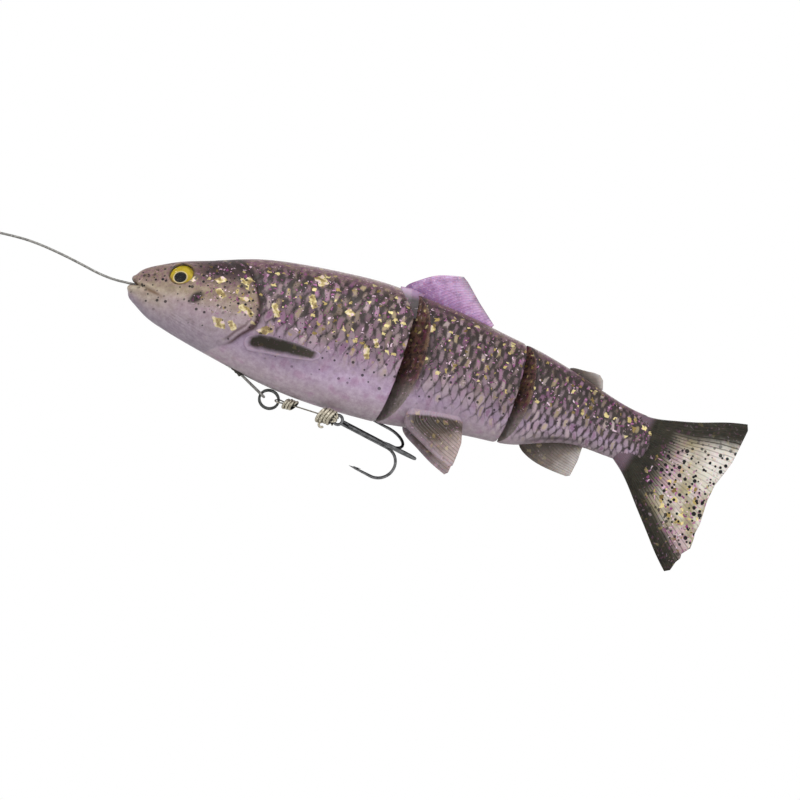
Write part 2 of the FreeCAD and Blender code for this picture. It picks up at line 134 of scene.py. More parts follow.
def spline(knots, values):
    """Natural cubic spline through the values at the knots, as a function."""
    knots = np.asarray(knots, float)
    values = np.asarray(values, float)
    count = len(knots)
    step = np.diff(knots)
    system = np.zeros((count, count))
    right_side = np.zeros(count)
    system[0, 0] = system[-1, -1] = 1.0
    for i in range(1, count - 1):
        system[i, i - 1:i + 2] = step[i - 1], 2 * (step[i - 1] + step[i]), step[i]
        slope_after = (values[i + 1] - values[i]) / step[i]
        slope_before = (values[i] - values[i - 1]) / step[i - 1]
        right_side[i] = 6 * (slope_after - slope_before)
    bend = np.linalg.solve(system, right_side)

    def at(x):
        i = np.clip(np.searchsorted(knots, x) - 1, 0, count - 2)
        before = x - knots[i]
        after = knots[i + 1] - x
        cubic = (bend[i] * after ** 3 + bend[i + 1] * before ** 3) / (6 * step[i])
        start = (values[i] / step[i] - bend[i] * step[i] / 6) * after
        end = (values[i + 1] / step[i] - bend[i + 1] * step[i] / 6) * before
        return cubic + start + end

    return at


def spaced(points, count, smooth=True):
    """count points evenly along a line through the points, curved or straight between them."""
    points = np.asarray(points, float)
    lengths = np.linalg.norm(np.diff(points, axis=0), axis=1)
    run = np.concatenate([[0.0], np.cumsum(lengths)])
    where = np.linspace(0, run[-1], count)
    if smooth and len(points) > 2:
        return np.stack([spline(run, points[:, k])(where) for k in range(points.shape[1])], axis=1)
    return np.stack([np.interp(where, run, points[:, k]) for k in range(points.shape[1])], axis=1)


def distance_to_line(x, z, points):
    """Signed distance to a line of (x, z) points, positive towards the nose, and the place along it."""
    best = np.full(x.shape, 1e9)
    signed = np.zeros(x.shape)
    place = np.zeros(x.shape)
    count = len(points) - 1
    for i, ((ax, az), (bx, bz)) in enumerate(zip(points[:-1], points[1:])):
        dx, dz = bx - ax, bz - az
        t = np.clip(((x - ax) * dx + (z - az) * dz) / (dx * dx + dz * dz), 0, 1)
        away_x, away_z = x - ax - t * dx, z - az - t * dz
        distance = np.hypot(away_x, away_z)
        side = np.sign(dx * away_z - dz * away_x)
        nearer = distance < best
        best = np.where(nearer, distance, best)
        signed = np.where(nearer, -side * distance, signed)
        place = np.where(nearer, (i + t) / count, place)
    return signed, place


def blot(x, z, centre, radii, turn=0.0, soft=0.5, angular=False):
    """Mask of a turned ellipse or box on the flank, 1 inside and fading to 0 at its rim."""
    a = math.radians(turn)
    along = (x - centre[0]) * math.cos(a) + (z - centre[1]) * math.sin(a)
    across = (z - centre[1]) * math.cos(a) - (x - centre[0]) * math.sin(a)
    if angular:
        skewed = np.abs(along / radii[0] + 0.35 * across / radii[1])
        reach = np.maximum(skewed, np.abs(across / radii[1]))
    else:
        reach = np.hypot(along / radii[0], across / radii[1])
    return 1 - smoothstep(reach, 1 - soft, 1 + soft * 0.5)


def flank_height(y, z):
    """Height of a flank point as the camera sees it, from a little below."""
    return z * math.cos(CAMERA_ELEVATION) - np.abs(y) * math.sin(CAMERA_ELEVATION)


def make_piece(name, points, faces, materials, face_material=None, values=None, flat=None):
    """Mesh piece from millimetre points; values are named numbers kept on its vertices.

    flat is each point's place on the unrolled surface, where scattered flakes and dots are drawn."""
    mesh = bpy.data.meshes.new(name)
    mesh.from_pydata((np.asarray(points) * MM).tolist(), [], [list(map(int, f)) for f in faces])
    for material in materials:
        mesh.materials.append(material)
    if face_material is not None:
        mesh.polygons.foreach_set("material_index", np.asarray(face_material, np.int32))
    mesh.polygons.foreach_set("use_smooth", np.ones(len(mesh.polygons), bool))
    points = np.asarray(points, np.float32)
    flat = points[:, [0, 2, 1]] if flat is None else np.asarray(flat, np.float32)
    for key, places in (("rest_place", points), ("flat_place", flat)):
        layer = mesh.attributes.new(key, "FLOAT_VECTOR", "POINT")
        layer.data.foreach_set("vector", places.ravel())
    for key, numbers in (values or {}).items():
        layer = mesh.attributes.new(key, "FLOAT", "POINT")
        layer.data.foreach_set("value", np.asarray(numbers, np.float32).ravel())
    mesh.validate()
    mesh.update()
    piece = bpy.data.objects.new(name, mesh)
    bpy.context.scene.collection.objects.link(piece)
    return piece


def name_piece(nodes):
    """The piece stands for CAD nodes, which are hidden."""
    if nodes:
        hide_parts(*nodes)


def settle(piece, body, slot, *nodes):
    """The piece rides on one body."""
    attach(piece, body)
    name_piece(nodes)


def bridge(piece, bodies, start, end, slot, *nodes):
    """The piece sits between two bodies; its place is baked into its mesh."""
    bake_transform(piece)
    name_piece(nodes)


def disc_points(centre, radii, heights, forward, upward, normal, sectors):
    """Middle point of a disc, then its rings outwards; heights are along the normal."""
    forward, upward, normal = np.array(forward), np.array(upward), np.array(normal)
    points = [centre + normal * heights[0]]
    for radius, height in zip(radii[1:], heights[1:]):
        for a in 2 * math.pi * np.arange(sectors) / sectors:
            across = forward * math.cos(a) + upward * math.sin(a)
            points.append(centre + normal * height + across * radius)
    return np.array(points)


def grid_faces(rows, columns, offset=0):
    """Quads of a grid that closes round its columns."""
    row = np.arange(rows - 1)[:, None] * columns
    column = np.arange(columns)[None, :]
    after = (column + 1) % columns
    corners = [row + column, row + columns + column, row + columns + after, row + after]
    return (np.stack(corners, axis=2).reshape(-1, 4) + offset).tolist()


def disc_faces(rings, sectors):
    """Faces of a disc: a fan round its middle point, then quads between its rings."""
    fan = [(0, 1 + k, 1 + (k + 1) % sectors) for k in range(sectors)]
    return fan + grid_faces(rings, sectors, 1)


# ---------------------------------------------------------------- camera, light and floor
def place_camera():
    """Camera that looks at the left flank from a little below, rolled as the picture is."""
    camera = bpy.data.cameras.new("camera")
    camera.sensor_width = SENSOR_WIDTH
    camera.lens = SENSOR_WIDTH / FIELD_WIDTH * CAMERA_DISTANCE
    holder = bpy.data.objects.new("camera", camera)
    bpy.context.scene.collection.objects.link(holder)
    back = Vector((0, -math.cos(CAMERA_ELEVATION), math.sin(CAMERA_ELEVATION)))
    level_right = Vector((1, 0, 0))
    level_up = back.cross(level_right)
    right = level_right * math.cos(CAMERA_ROLL) + level_up * math.sin(CAMERA_ROLL)
    up = level_up * math.cos(CAMERA_ROLL) - level_right * math.sin(CAMERA_ROLL)
    turn = Matrix((right, up, back)).transposed().to_4x4()
    holder.matrix_world = Matrix.Translation(CAMERA_TARGET + back * CAMERA_DISTANCE) @ turn
    bpy.context.scene.camera = holder


def add_softbox(name, place, size, power):
    """Round soft light, aimed at the lure."""
    light = bpy.data.lights.new(name, "AREA")
    light.shape = "DISK"
    light.size = size
    light.energy = power
    lamp = bpy.data.objects.new(name, light)
    lamp.location = place
    aim = CAMERA_TARGET - Vector(place)
    lamp.rotation_mode = "QUATERNION"
    lamp.rotation_quaternion = aim.to_track_quat("-Z", "Y")
    bpy.context.scene.collection.objects.link(lamp)


def light_stage():
    """White surroundings that are darker overhead and underfoot, and three soft lights."""
    world = bpy.data.worlds.new("white_studio")
    world.use_nodes = True
    tree = world.node_tree
    background = tree.nodes["Background"]
    direction = tree.nodes.new("ShaderNodeTexCoord")
    split = tree.nodes.new("ShaderNodeSeparateXYZ")
    tree.links.new(direction.outputs["Generated"], split.inputs[0])
    band = tree.nodes.new("ShaderNodeValToRGB")
    spread = tree.nodes.new("ShaderNodeMapRange")
    spread.inputs["From Min"].default_value = -1.0
    tree.links.new(split.outputs["Z"], spread.inputs["Value"])
    tree.links.new(spread.outputs["Result"], band.inputs["Fac"])
    levels = [(0.30, 0.30), (0.40, 1.0), (0.72, 1.0), (0.84, 0.42)]
    while len(band.color_ramp.elements) < len(levels):
        band.color_ramp.elements.new(0.5)
    for element, (place, level) in zip(band.color_ramp.elements, levels):
        element.position = place
        element.color = (level, level, level, 1.0)
    tree.links.new(band.outputs["Color"], background.inputs["Color"])
    background.inputs["Strength"].default_value = 1.0
    bpy.context.scene.world = world
    bpy.context.scene.view_settings.view_transform = "Standard"
    add_softbox("key_light", (-0.15, -0.75, 0.85), 0.4, 5.5)
    add_softbox("fill_light", (0.75, -0.6, 0.1), 0.6, 1.5)
    add_softbox("back_light", (0.2, 0.8, 0.6), 0.6, 2.0)


def make_floor():
    """Round pale floor, well below the lure."""
    radius, rings, sectors = 340.0, 6, 96
    centre = (92.0, 0.0, -300.0)
    reach = radius * np.arange(rings + 1) / rings
    points = disc_points(centre, reach, 0 * reach, (1, 0, 0), (0, 1, 0), (0, 0, 1), sectors)
    floor = make_piece("studio_floor", points, disc_faces(rings, sectors), [floor_material()])


# ---------------------------------------------------------------- material graphs
def srgb(red, green, blue):
    """Linear colour of a screen colour given as 0 to 255."""
    linear = []
    for value in (red, green, blue):
        share = value / 255
        linear.append(share / 12.92 if share <= 0.04045 else ((share + 0.055) / 1.055) ** 2.4)
    return (*linear, 1.0)


class Signal:
    """One output in a material's graph, with arithmetic."""

    def __init__(self, graph, socket):
        self.graph = graph
        self.socket = socket

    def __add__(self, other):
        return self.graph.math("ADD", self, other)

    def __sub__(self, other):
        return self.graph.math("SUBTRACT", self, other)

    def __rsub__(self, other):
        return self.graph.math("SUBTRACT", other, self)

    def __mul__(self, other):
        return self.graph.math("MULTIPLY", self, other)

    def output(self, key):
        """Another output of the same node."""
        return Signal(self.graph, self.socket.node.outputs[key])


class Graph:
    """One node material: a Principled surface and the textures that drive it.

    Colours are (red, green, blue) screen colours from 0 to 255."""

    def __init__(self, name, roughness=0.4, **surface):
        self.material = bpy.data.materials.new(name)
        self.material.use_nodes = True
        self.tree = self.material.node_tree
        self.surface = self.tree.nodes["Principled BSDF"]
        self.set("Roughness", roughness)
        for key, value in surface.items():
            self.set(key.replace("_", " ").title().replace("Ior", "IOR"), value)

    def set(self, key, value):
        """Gives one of the surface's inputs a constant or a texture."""
        self.put(self.surface.inputs[key], value)

    def put(self, socket, value):
        if isinstance(value, Signal):
            self.tree.links.new(value.socket, socket)
        else:
            socket.default_value = srgb(*value) if socket.type == "RGBA" else value

    def node(self, kind, inputs, output=0, **settings):
        """Adds a node and gives one of its outputs."""
        made = self.tree.nodes.new(kind)
        for key, value in settings.items():
            setattr(made, key, value)
        for key, value in inputs.items():
            self.put(made.inputs[key], value)
        return Signal(self, made.outputs[output])

    def number(self, name):
        return self.node("ShaderNodeAttribute", {}, "Fac", attribute_name=name)

    def place(self):
        """The point at rest, in millimetres."""
        return self.node("ShaderNodeAttribute", {}, "Vector", attribute_name="rest_place")

    def flat_place(self):
        """The point's place on the unrolled surface, in millimetres."""
        return self.node("ShaderNodeAttribute", {}, "Vector", attribute_name="flat_place")

    def object_place(self):
        """The point in its object's own space, in millimetres."""
        metres = self.node("ShaderNodeTexCoord", {}, "Object")
        return self.node("ShaderNodeVectorMath", {0: metres, 1: (1 / MM,) * 3}, operation="MULTIPLY")

    def math(self, operation, a, b=0.0):
        return self.node("ShaderNodeMath", {0: a, 1: b}, operation=operation)

    def ease(self, value, low, high):
        """0 at low, 1 at high, smooth between."""
        inputs = {"Value": value, "From Min": low, "From Max": high}
        return self.node("ShaderNodeMapRange", inputs, interpolation_type="SMOOTHSTEP")

    def mix(self, share, a, b, blend="MIX"):
        return self.node("ShaderNodeMix", {0: share, 6: a, 7: b}, 2, data_type="RGBA", blend_type=blend)

    def ramp(self, value, stops):
        made = self.node("ShaderNodeValToRGB", {"Fac": value})
        elements = made.socket.node.color_ramp.elements
        while len(elements) < len(stops):
            elements.new(0.5)
        for element, (place, colour) in zip(elements, stops):
            element.position = place
            element.color = srgb(*colour)
        return made

    def noise(self, place, scale, detail=3.0, roughness=0.55):
        inputs = {"Vector": place, "Scale": scale, "Detail": detail, "Roughness": roughness}
        return self.node("ShaderNodeTexNoise", inputs, "Fac")

    def shifted(self, place, shift):
        return self.node("ShaderNodeVectorMath", {0: place, 1: shift}, operation="ADD")

    def warped(self, place, scale, reach):
        """The place pushed about by up to half of reach, so that shapes drawn there look cut by hand."""
        push = self.node("ShaderNodeTexNoise", {"Vector": place, "Scale": scale, "Detail": 1.0}, "Color")
        inputs = {0: self.shifted(push, (-0.5, -0.5, -0.5)), 1: (reach,) * 3, 2: place}
        return self.node("ShaderNodeVectorMath", inputs, operation="MULTIPLY_ADD")

    def bits(self, place, scale, reach, share, metric="CHEBYCHEV"):
        """Mask of small scattered bits of mixed sizes, and a random number for each bit."""
        distance = self.node("ShaderNodeTexVoronoi", {"Vector": place, "Scale": scale}, "Distance",
                             distance=metric, voronoi_dimensions="2D")
        pick = self.node("ShaderNodeSeparateColor", {"Color": distance.output("Color")})
        size = (pick.output(1) + 0.8) * (reach * 0.56)
        return self.ease(size - distance, 0.0, 0.05) * self.math("LESS_THAN", pick, share), pick

    def finish(self, colour, height, strength, distance, metallic=None):
        """Sets the colour, the surface relief and the share of metal, and gives the material."""
        self.set("Base Color", colour)
        if metallic is not None:
            self.set("Metallic", metallic)
        inputs = {"Height": height, "Strength": strength, "Distance": distance}
        self.set("Normal", self.node("ShaderNodeBump", inputs))
        return self.material


def soft_plastic(name, roughness, scatter, coat, coat_roughness=0.2, specular=0.5):
    """Graph of a soft plastic that scatters a little light under a thin gloss."""
    return Graph(name, roughness=roughness, subsurface_weight=scatter, subsurface_scale=0.001,
                 coat_weight=coat, coat_roughness=coat_roughness, specular_ior_level=specular)


def add_flakes(graph, colour, gold_zone, pink_zone, fineness=1.0):
    """Gold and magenta glitter bits over a colour, and the mask of all the bits."""
    crooked = graph.warped(graph.flat_place(), 0.6, 2.4)
    gold, gold_tone = graph.bits(crooked, 0.40 * fineness, 0.27, 0.42)
    gold = gold * gold_zone
    pink, pink_tone = graph.bits(graph.shifted(crooked, (31.0, 17.0, 5.0)), 0.80 * fineness, 0.26, 0.44)
    pink = pink * pink_zone
    pink_colour = graph.ramp(pink_tone, [
        (0.05, (128, 58, 112)), (0.28, (176, 112, 158)), (0.40, (232, 204, 220))])
    gold_colour = graph.ramp(gold_tone, [
        (0.04, (112, 92, 50)), (0.20, (168, 146, 88)), (0.36, (222, 206, 146))])
    colour = graph.mix(pink, colour, pink_colour)
    colour = graph.mix(gold, colour, gold_colour)
    return colour, graph.math("MAXIMUM", gold, pink)


def add_dots(graph, colour, scale, reach, share, zone):
    """Round black dots of pigment over a colour."""
    place = graph.shifted(graph.flat_place(), (7.0, 3.0, 11.0))
    dots, _ = graph.bits(place, scale, reach, share, "EUCLIDEAN")
    return graph.mix(dots * zone, colour, (24, 22, 24))


def airbrush(graph, place):
    """Paint under the scales: lavender belly, olive face, plum back, all mottled."""
    height = graph.number("height_share")
    head = graph.number("head_share")
    # Colours run up from the belly; the greyer first stop of the flank and of the face is painted shade under
    # the belly.
    flank = graph.ramp(height, [
        (0.00, (160, 146, 152)), (0.10, (176, 158, 170)), (0.24, (184, 162, 188)), (0.42, (158, 136, 156)),
        (0.58, (116, 92, 106)), (0.76, (76, 52, 66)), (0.93, (74, 54, 62)), (1.00, (104, 86, 90))])
    face = graph.ramp(height, [
        (0.00, (148, 136, 148)), (0.22, (164, 148, 160)), (0.44, (166, 148, 152)),
        (0.60, (176, 163, 134)), (0.78, (174, 160, 126)), (1.00, (150, 136, 112))])
    colour = graph.mix(head, flank, face)
    colour = graph.mix(graph.number("snout_share"), colour, (180, 166, 142))
    mottle = graph.noise(place, 0.22, 4.0)
    colour = graph.mix(graph.ease(mottle, 0.50, 0.66) * (height * 0.6), colour, (112, 104, 78))
    colour = graph.mix(graph.ease(mottle, 0.47, 0.34) * ((1.2 - head) * 0.4), colour, (166, 126, 156))
    patches = graph.ramp(graph.noise(graph.shifted(place, (9.0, 80.0, 2.0)), 0.75, 4.0, 0.65), [
        (0.30, (62, 28, 60)), (0.42, (112, 64, 92)), (0.51, (132, 108, 106)),
        (0.60, (108, 92, 62)), (0.70, (200, 152, 180))])
    colour = graph.mix(graph.number("patch_share"), colour, patches)
    colour = graph.mix(graph.number("crown_share"), colour, (56, 38, 46))
    streak = graph.noise(graph.shifted(place, (60.0, 0.0, 0.0)), 0.55, 5.0, 0.7)
    streaks = graph.ramp(streak, [(0.32, (148.9, 144.3, 148.9)), (0.66, (217.8, 217.8, 217.8))])
    return graph.mix(0.8, colour, streaks, "SOFT_LIGHT")


def add_scales(graph, colour, place, grain):
    """Scales over a colour, each with a tint of its own, and the mask of their dark paint.

    Dark lozenges sit where the scale rows cross, with broken lines between them."""
    cover = graph.number("scale_cover")
    row_a = graph.number("scale_a")
    row_b = graph.number("scale_b")
    near_a = graph.math("PINGPONG", row_a, 0.5)
    near_b = graph.math("PINGPONG", row_b, 0.5)
    cell = graph.node("ShaderNodeCombineXYZ", {
        0: graph.math("FLOOR", row_a), 1: graph.math("FLOOR", row_b), 2: graph.number("flank_side")})
    draw = graph.node("ShaderNodeTexWhiteNoise", {"Vector": cell}, "Value")
    cell_colour = graph.ramp(draw, [
        (0.0, (80, 64, 74)), (0.25, (126, 106, 116)), (0.5, (162, 144, 154)),
        (0.7, (126, 116, 88)), (0.85, (192, 174, 172)), (1.0, (132, 96, 128))])
    colour = graph.mix(cover * graph.number("tint_share"), colour, cell_colour)

    patchy = graph.noise(graph.shifted(place, (3.0, 50.0, 8.0)), 0.42, 3.0, 0.6)
    wobble = (grain - 0.5) * 0.9
    dark_size = graph.number("dark_size")
    crossing = near_a + near_b
    lozenge = graph.ease(dark_size + wobble - crossing + (patchy - 0.5) * 1.4 * dark_size, -0.24, 0.24)
    thin = graph.math("MINIMUM", near_b, near_a * 3.4)
    line = graph.ease(dark_size * ((patchy - 0.36) * 1.3) - thin, -0.12, 0.12)
    dark = graph.math("MAXIMUM", lozenge, line) * cover * 0.90
    ink = graph.mix(graph.noise(place, 0.5), (20, 17, 20), (58, 50, 42))
    colour = graph.mix(dark, colour, ink)

    # Some scales show gold or pink through the paint in their middle, and some a pale painted highlight.
    pick = graph.node("ShaderNodeSeparateColor", {"Color": draw.output("Color")})
    middle = graph.ease(crossing + wobble * 1.2, 0.52, 0.72)
    tint_and_highlight = middle * graph.math("LESS_THAN", pick.output(1), 0.36) * (cover * 0.50)
    tint_and_highlight_colour = graph.ramp(pick.output(2), [
        (0.10, (210, 192, 136)), (0.35, (128, 114, 76)), (0.50, (226, 208, 204)),
        (0.70, (186, 138, 172)), (0.90, (120, 62, 112))])
    return graph.mix(tint_and_highlight, colour, tint_and_highlight_colour), dark


def skin_material():
    """Soft plastic skin: airbrushed paint, lozenge scales, glitter and dots."""
    graph = soft_plastic("soft_body_skin", 0.45, 0.12, 0.05, specular=0.25)
    graph.set("Subsurface Radius", (1.0, 0.6, 0.8))
    place = graph.place()
    grain = graph.noise(place, 1.3, 5.0, 0.7)
    colour, dark = add_scales(graph, airbrush(graph, place), place, grain)
    colour = graph.mix(graph.number("brown_paint"), colour, (104, 76, 52))
    colour = graph.mix(graph.number("rust_paint"), colour, (70, 40, 38))
    colour = graph.mix(graph.number("dark_paint"), colour, (40, 32, 30))
    glitter = graph.number("glitter_share")
    colour, bits = add_flakes(graph, colour, glitter, glitter * 0.9)
    cut = (graph.noise(place, 0.8, 1.0) - 0.5) * 1.6
    big = graph.ease(graph.number("big_flake") + cut, 0.44, 0.64)
    # Gold leaf tones; the pale pinkish-white last stop is a painted highlight on the leaf.
    gold_leaf_and_highlight_colour = graph.ramp(graph.noise(place, 0.62, 1.5), [
        (0.36, (140, 120, 74)), (0.47, (190, 170, 112)), (0.56, (234, 220, 170)), (0.66, (232, 204, 206))])
    colour = graph.mix(big * 0.88, colour, gold_leaf_and_highlight_colour)
    colour = add_dots(graph, colour, 0.32, 0.20, 0.5, graph.number("dot_share"))
    colour = add_dots(graph, colour, 0.46, 0.24, 0.62, graph.number("speck_share"))
    colour = add_dots(graph, colour, 0.85, 0.20, 0.35, glitter)
    metal = graph.math("MAXIMUM", bits, big) * 0.25
    return graph.finish(colour, grain * 0.6 - dark * 0.6, 0.45, 0.0004, metal)


def joint_face_material():
    """Cut faces in the joints: brown soft plastic that shows glitter, darkened by painted shade of the gap,
    deepest above and lighter grey at the belly.
    """
    graph = soft_plastic("joint_face", 0.4, 0.1, 0.2)
    place = graph.place()
    cloud = graph.noise(place, 0.5, 5.0, 0.65)
    dark = graph.ramp(cloud, [
        (0.34, (44, 36, 36)), (0.48, (84, 64, 60)), (0.57, (122, 92, 74)),
        (0.66, (112, 100, 78)), (0.76, (146, 104, 90))])
    plum = graph.ease(graph.noise(graph.shifted(place, (0.0, 30.0, 12.0)), 0.4, 3.0), 0.54, 0.64)
    dark = graph.mix(plum * 0.7, dark, (108, 50, 74))
    low = graph.ramp(cloud, [(0.36, (110, 102, 96)), (0.66, (158, 146, 146))])
    height = graph.number("height_share") + cloud * 0.2
    # Painted shade of the gap: dark tones above, lighter grey towards the belly.
    colour = graph.mix(graph.ease(height, 0.32, 0.56), low, dark)
    colour, bits = add_flakes(graph, colour, graph.ease(height, 0.55, 0.9), 0.7)
    colour = add_dots(graph, colour, 0.6, 0.22, 0.5, graph.ease(height, 0.3, 0.6))
    return graph.finish(colour, cloud, 0.5, 0.0005, bits * 0.3)


def ray_lines(graph, count, place):
    """Fine fin rays: 1 on a ray, 0 between, wavering a little."""
    drift = graph.noise(place, 0.16, 2.0) * 0.02
    phase = (graph.number("fin_across") + drift) * float(count)
    return graph.ease(graph.math("PINGPONG", phase, 0.5), 0.20, 0.02)


def dorsal_material():
    """Dorsal fin: translucent purple, darker at the root, with streaks between the rays."""
    graph = soft_plastic("dorsal_fin_plastic", 0.38, 0.35, 0.2)
    place = graph.place()
    streaks = graph.noise(place, 0.35, 4.0, 0.6)
    colour = graph.ramp(graph.number("fin_out"), [
        (0.00, (70, 42, 72)), (0.16, (132, 88, 138)), (0.45, (180, 138, 184)),
        (0.80, (198, 162, 200)), (0.94, (168, 144, 166)), (1.00, (136, 124, 132))])
    rays = ray_lines(graph, 22, place) * 0.6
    colour = graph.mix(rays, colour, (112, 68, 122))
    colour = graph.mix(graph.ease(streaks, 0.5, 0.7) * 0.5, colour, (208, 178, 212))
    colour = graph.mix(graph.ease(streaks, 0.48, 0.34) * 0.5, colour, (122, 84, 126))
    # dusk_share lays painted shade; only the corner web carries it, low down.
    colour = graph.mix(graph.number("dusk_share"), colour, (52, 38, 38))
    colour, bits = add_flakes(graph, colour, 0.0, 0.35)
    return graph.finish(colour, rays + streaks, 0.3, 0.0003, bits * 0.3)


def small_fin_material(name, root, middle, edge, ray, ray_count, glitter, skin=(154, 135, 148)):
    """Pelvic, anal, adipose and pectoral fins: the colours run from the root to the free edge."""
    graph = soft_plastic(name, 0.42, 0.15, 0.1, specular=0.3)
    place = graph.place()
    cloud = graph.noise(place, 0.4, 4.0, 0.6)
    blurred = graph.number("fin_out") + (cloud - 0.5) * 0.35
    colour = graph.ramp(blurred, [(0.24, root), (0.62, middle), (0.95, edge)])
    rays = ray_lines(graph, ray_count, place) * 0.45
    colour = graph.mix(rays, colour, ray)
    # dusk_share lays the root colour over the fin; on the pelvic fins it is a painted shadow band.
    colour = graph.mix(graph.number("dusk_share"), colour, root)
    skin_share = graph.number("skin_share")
    rough_share = graph.ease(skin_share + (cloud - 0.5) * 0.5, 0.08, 0.85) * graph.ease(skin_share, 0.0, 0.2)
    colour = graph.mix(rough_share, colour, skin)
    colour, bits = add_flakes(graph, colour, glitter, glitter)
    colour = add_dots(graph, colour, 0.30, 0.15, 0.5, glitter)
    return graph.finish(colour, rays + cloud, 0.3, 0.0003, bits * 0.35)


def tail_fin_material():
    """Tail fin: charcoal root and borders, a clear cream web with dots and glitter between."""
    graph = soft_plastic("tail_fin_plastic", 0.42, 0.15, 0.05, specular=0.15)
    place = graph.place()
    border_share = graph.number("border_share")
    cloud = graph.noise(place, 0.3, 4.0, 0.6)
    web = graph.ramp(cloud, [(0.30, (140, 128, 110)), (0.50, (180, 169, 152)), (0.70, (218, 213, 202))])
    warm = graph.noise(graph.shifted(place, (40.0, 0.0, 9.0)), 0.12, 2.0)
    web = graph.mix(graph.ease(warm, 0.50, 0.62) * 0.55, web, (186, 150, 166))
    web = graph.mix(graph.ease(warm, 0.48, 0.38) * 0.5, web, (160, 148, 106))
    web = graph.mix(graph.number("pale_share") * 0.7, web, (232, 228, 220))
    border = graph.ramp(cloud, [(0.3, (14, 14, 12)), (0.7, (56, 53, 41))])
    rays = ray_lines(graph, 34, place)
    rough_border = border_share + ((cloud - 0.5) * 0.7 + rays * 0.18)
    colour = graph.mix(graph.ease(rough_border, 0.10, 0.95), web, border)
    near_root = rays * (border_share * 0.5 + 0.25)
    colour = graph.mix(near_root, colour, (56, 50, 43))
    colour = graph.mix(graph.number("skin_share"), colour, (112, 92, 104))
    glitter = graph.number("glitter_share")
    colour, bits = add_flakes(graph, colour, glitter, glitter)
    colour, clustered = add_flakes(graph, colour, graph.number("cluster_share"), glitter, 0.75)
    for scale, share in ((0.38, 0.62), (0.55, 0.50)):
        colour = add_dots(graph, colour, scale, 0.30, share, graph.number("dot_share"))
    metal = graph.math("MAXIMUM", bits, clustered) * 0.35
    return graph.finish(colour, near_root + cloud, 0.35, 0.0003, metal)


def iris_material():
    """Printed yellow iris: black pupil, cream ring, radial brush lines and a dark outer rim."""
    graph = Graph("printed_iris", roughness=0.25, coat_weight=0.4, coat_roughness=0.05)
    radius = graph.number("iris_radius")
    spokes = graph.node("ShaderNodeCombineXYZ", {0: graph.number("iris_turn"), 1: radius})
    fibre = graph.noise(spokes, 3.0, 4.0)
    yellow = graph.mix(fibre, (214, 166, 10), (255, 236, 70))
    yellow = graph.mix(graph.number("iris_low") * 0.6, yellow, (150, 96, 22))
    colour = graph.mix(graph.ease(radius, 3.45, 3.75), yellow, (52, 34, 18))
    cream = graph.ease(radius, 1.86, 1.98) * graph.ease(radius, 2.32, 2.18)
    colour = graph.mix(cream, colour, (252, 232, 180))
    colour = graph.mix(graph.ease(radius, 1.96, 1.88), colour, (8, 10, 12))
    return graph.finish(colour, fibre, 0.2, 0.0001)


def lens_material():
    """Clear lens, with a little wear in its gloss."""
    graph = Graph("clear_lens", transmission_weight=1.0, ior=1.08)
    graph.set("Roughness", graph.noise(graph.place(), 1.2, 3.0) * 0.05)
    return graph.material


def eye_rim_material():
    """Brown and gold paint round the eye."""
    graph = Graph("eye_rim_paint", roughness=0.35, coat_weight=0.4, coat_roughness=0.1)
    cloud = graph.noise(graph.place(), 0.9, 4.0)
    return graph.finish(graph.ramp(cloud, [(0.35, (40, 28, 20)), (0.65, (128, 94, 38))]), cloud, 0.3, 0.0002)


def metal_material(name, dark, pale, roughness, scale=1.6, shade=None):
    """Worn metal: tone and gloss wander, with fine scratches; shade is a painted shade, laid where
    crest_share is low.
    """
    graph = Graph(name, metallic=1.0)
    place = graph.object_place()
    wander = graph.noise(place, scale, 5.0, 0.65)
    colour = graph.mix(graph.ease(wander, 0.3, 0.7), dark, pale)
    # Painted shade where crest_share is low: in the hollows of coils and on the upper side of the hooks.
    if shade is not None:
        colour = graph.mix(graph.number("crest_share"), shade, colour)
    graph.set("Roughness", wander * roughness + 0.5)
    return graph.finish(colour, graph.noise(place, 14.0, 3.0), 0.12, 0.00005)


def plain_plastic(name, dark, pale, roughness, scale):
    """Moulded plastic with wandering tone and a fine surface."""
    graph = Graph(name, roughness=roughness)
    wander = graph.noise(graph.object_place(), scale, 4.0)
    return graph.finish(graph.mix(wander, dark, pale), wander, 0.3, 0.0002)


def net_material():
    """Woven reinforcement: two families of threads in a soft matrix."""
    graph = Graph("woven_net", roughness=0.6)
    split = graph.node("ShaderNodeSeparateXYZ", {0: graph.object_place()})
    up, along = [graph.ease(graph.math("PINGPONG", split.output(k), 0.5), 0.10, 0.22) for k in (0, 2)]
    weave = up * along
    return graph.finish(graph.mix(weave, (150, 134, 150), (70, 58, 70)), weave, 0.5, 0.0003)


def floor_material():
    """Pale studio paper."""
    graph = Graph("studio_paper", roughness=0.9)
    fibre = graph.noise(graph.place(), 0.05, 4.0)
    graph.set("Base Color", graph.mix(fibre, (238, 238, 236), (246, 246, 245)))
    return graph.material


# ---------------------------------------------------------------- body skins
section_run = np.sqrt(STATIONS[:, 0] - NOSE_X)
top_line = spline(section_run, STATIONS[:, 1])
bottom_line = spline(section_run, STATIONS[:, 2])
width_line = spline(section_run, STATIONS[:, 3])


def section(x):
    """Middle height, half height and half width of the oval body at a station."""
    run = np.sqrt(np.maximum(x - NOSE_X, 0.0))
    top, bottom = top_line(run), bottom_line(run)
    return (top + bottom) / 2, (top - bottom) / 2, np.maximum(width_line(run), 0.0)


def face_ahead(joint_x):
    """V face that ends the body ahead of a joint."""
    lean = math.tan(math.radians(FACE_AHEAD_LEAN))
    return lambda y, z: joint_x - JOINT_GAP + np.abs(y) * lean


def face_behind(joint_x):
    """V face that starts the body behind a joint."""
    lean = math.tan(math.radians(FACE_BEHIND_LEAN))
    return lambda y, z: joint_x + JOINT_GAP + np.abs(y) * lean


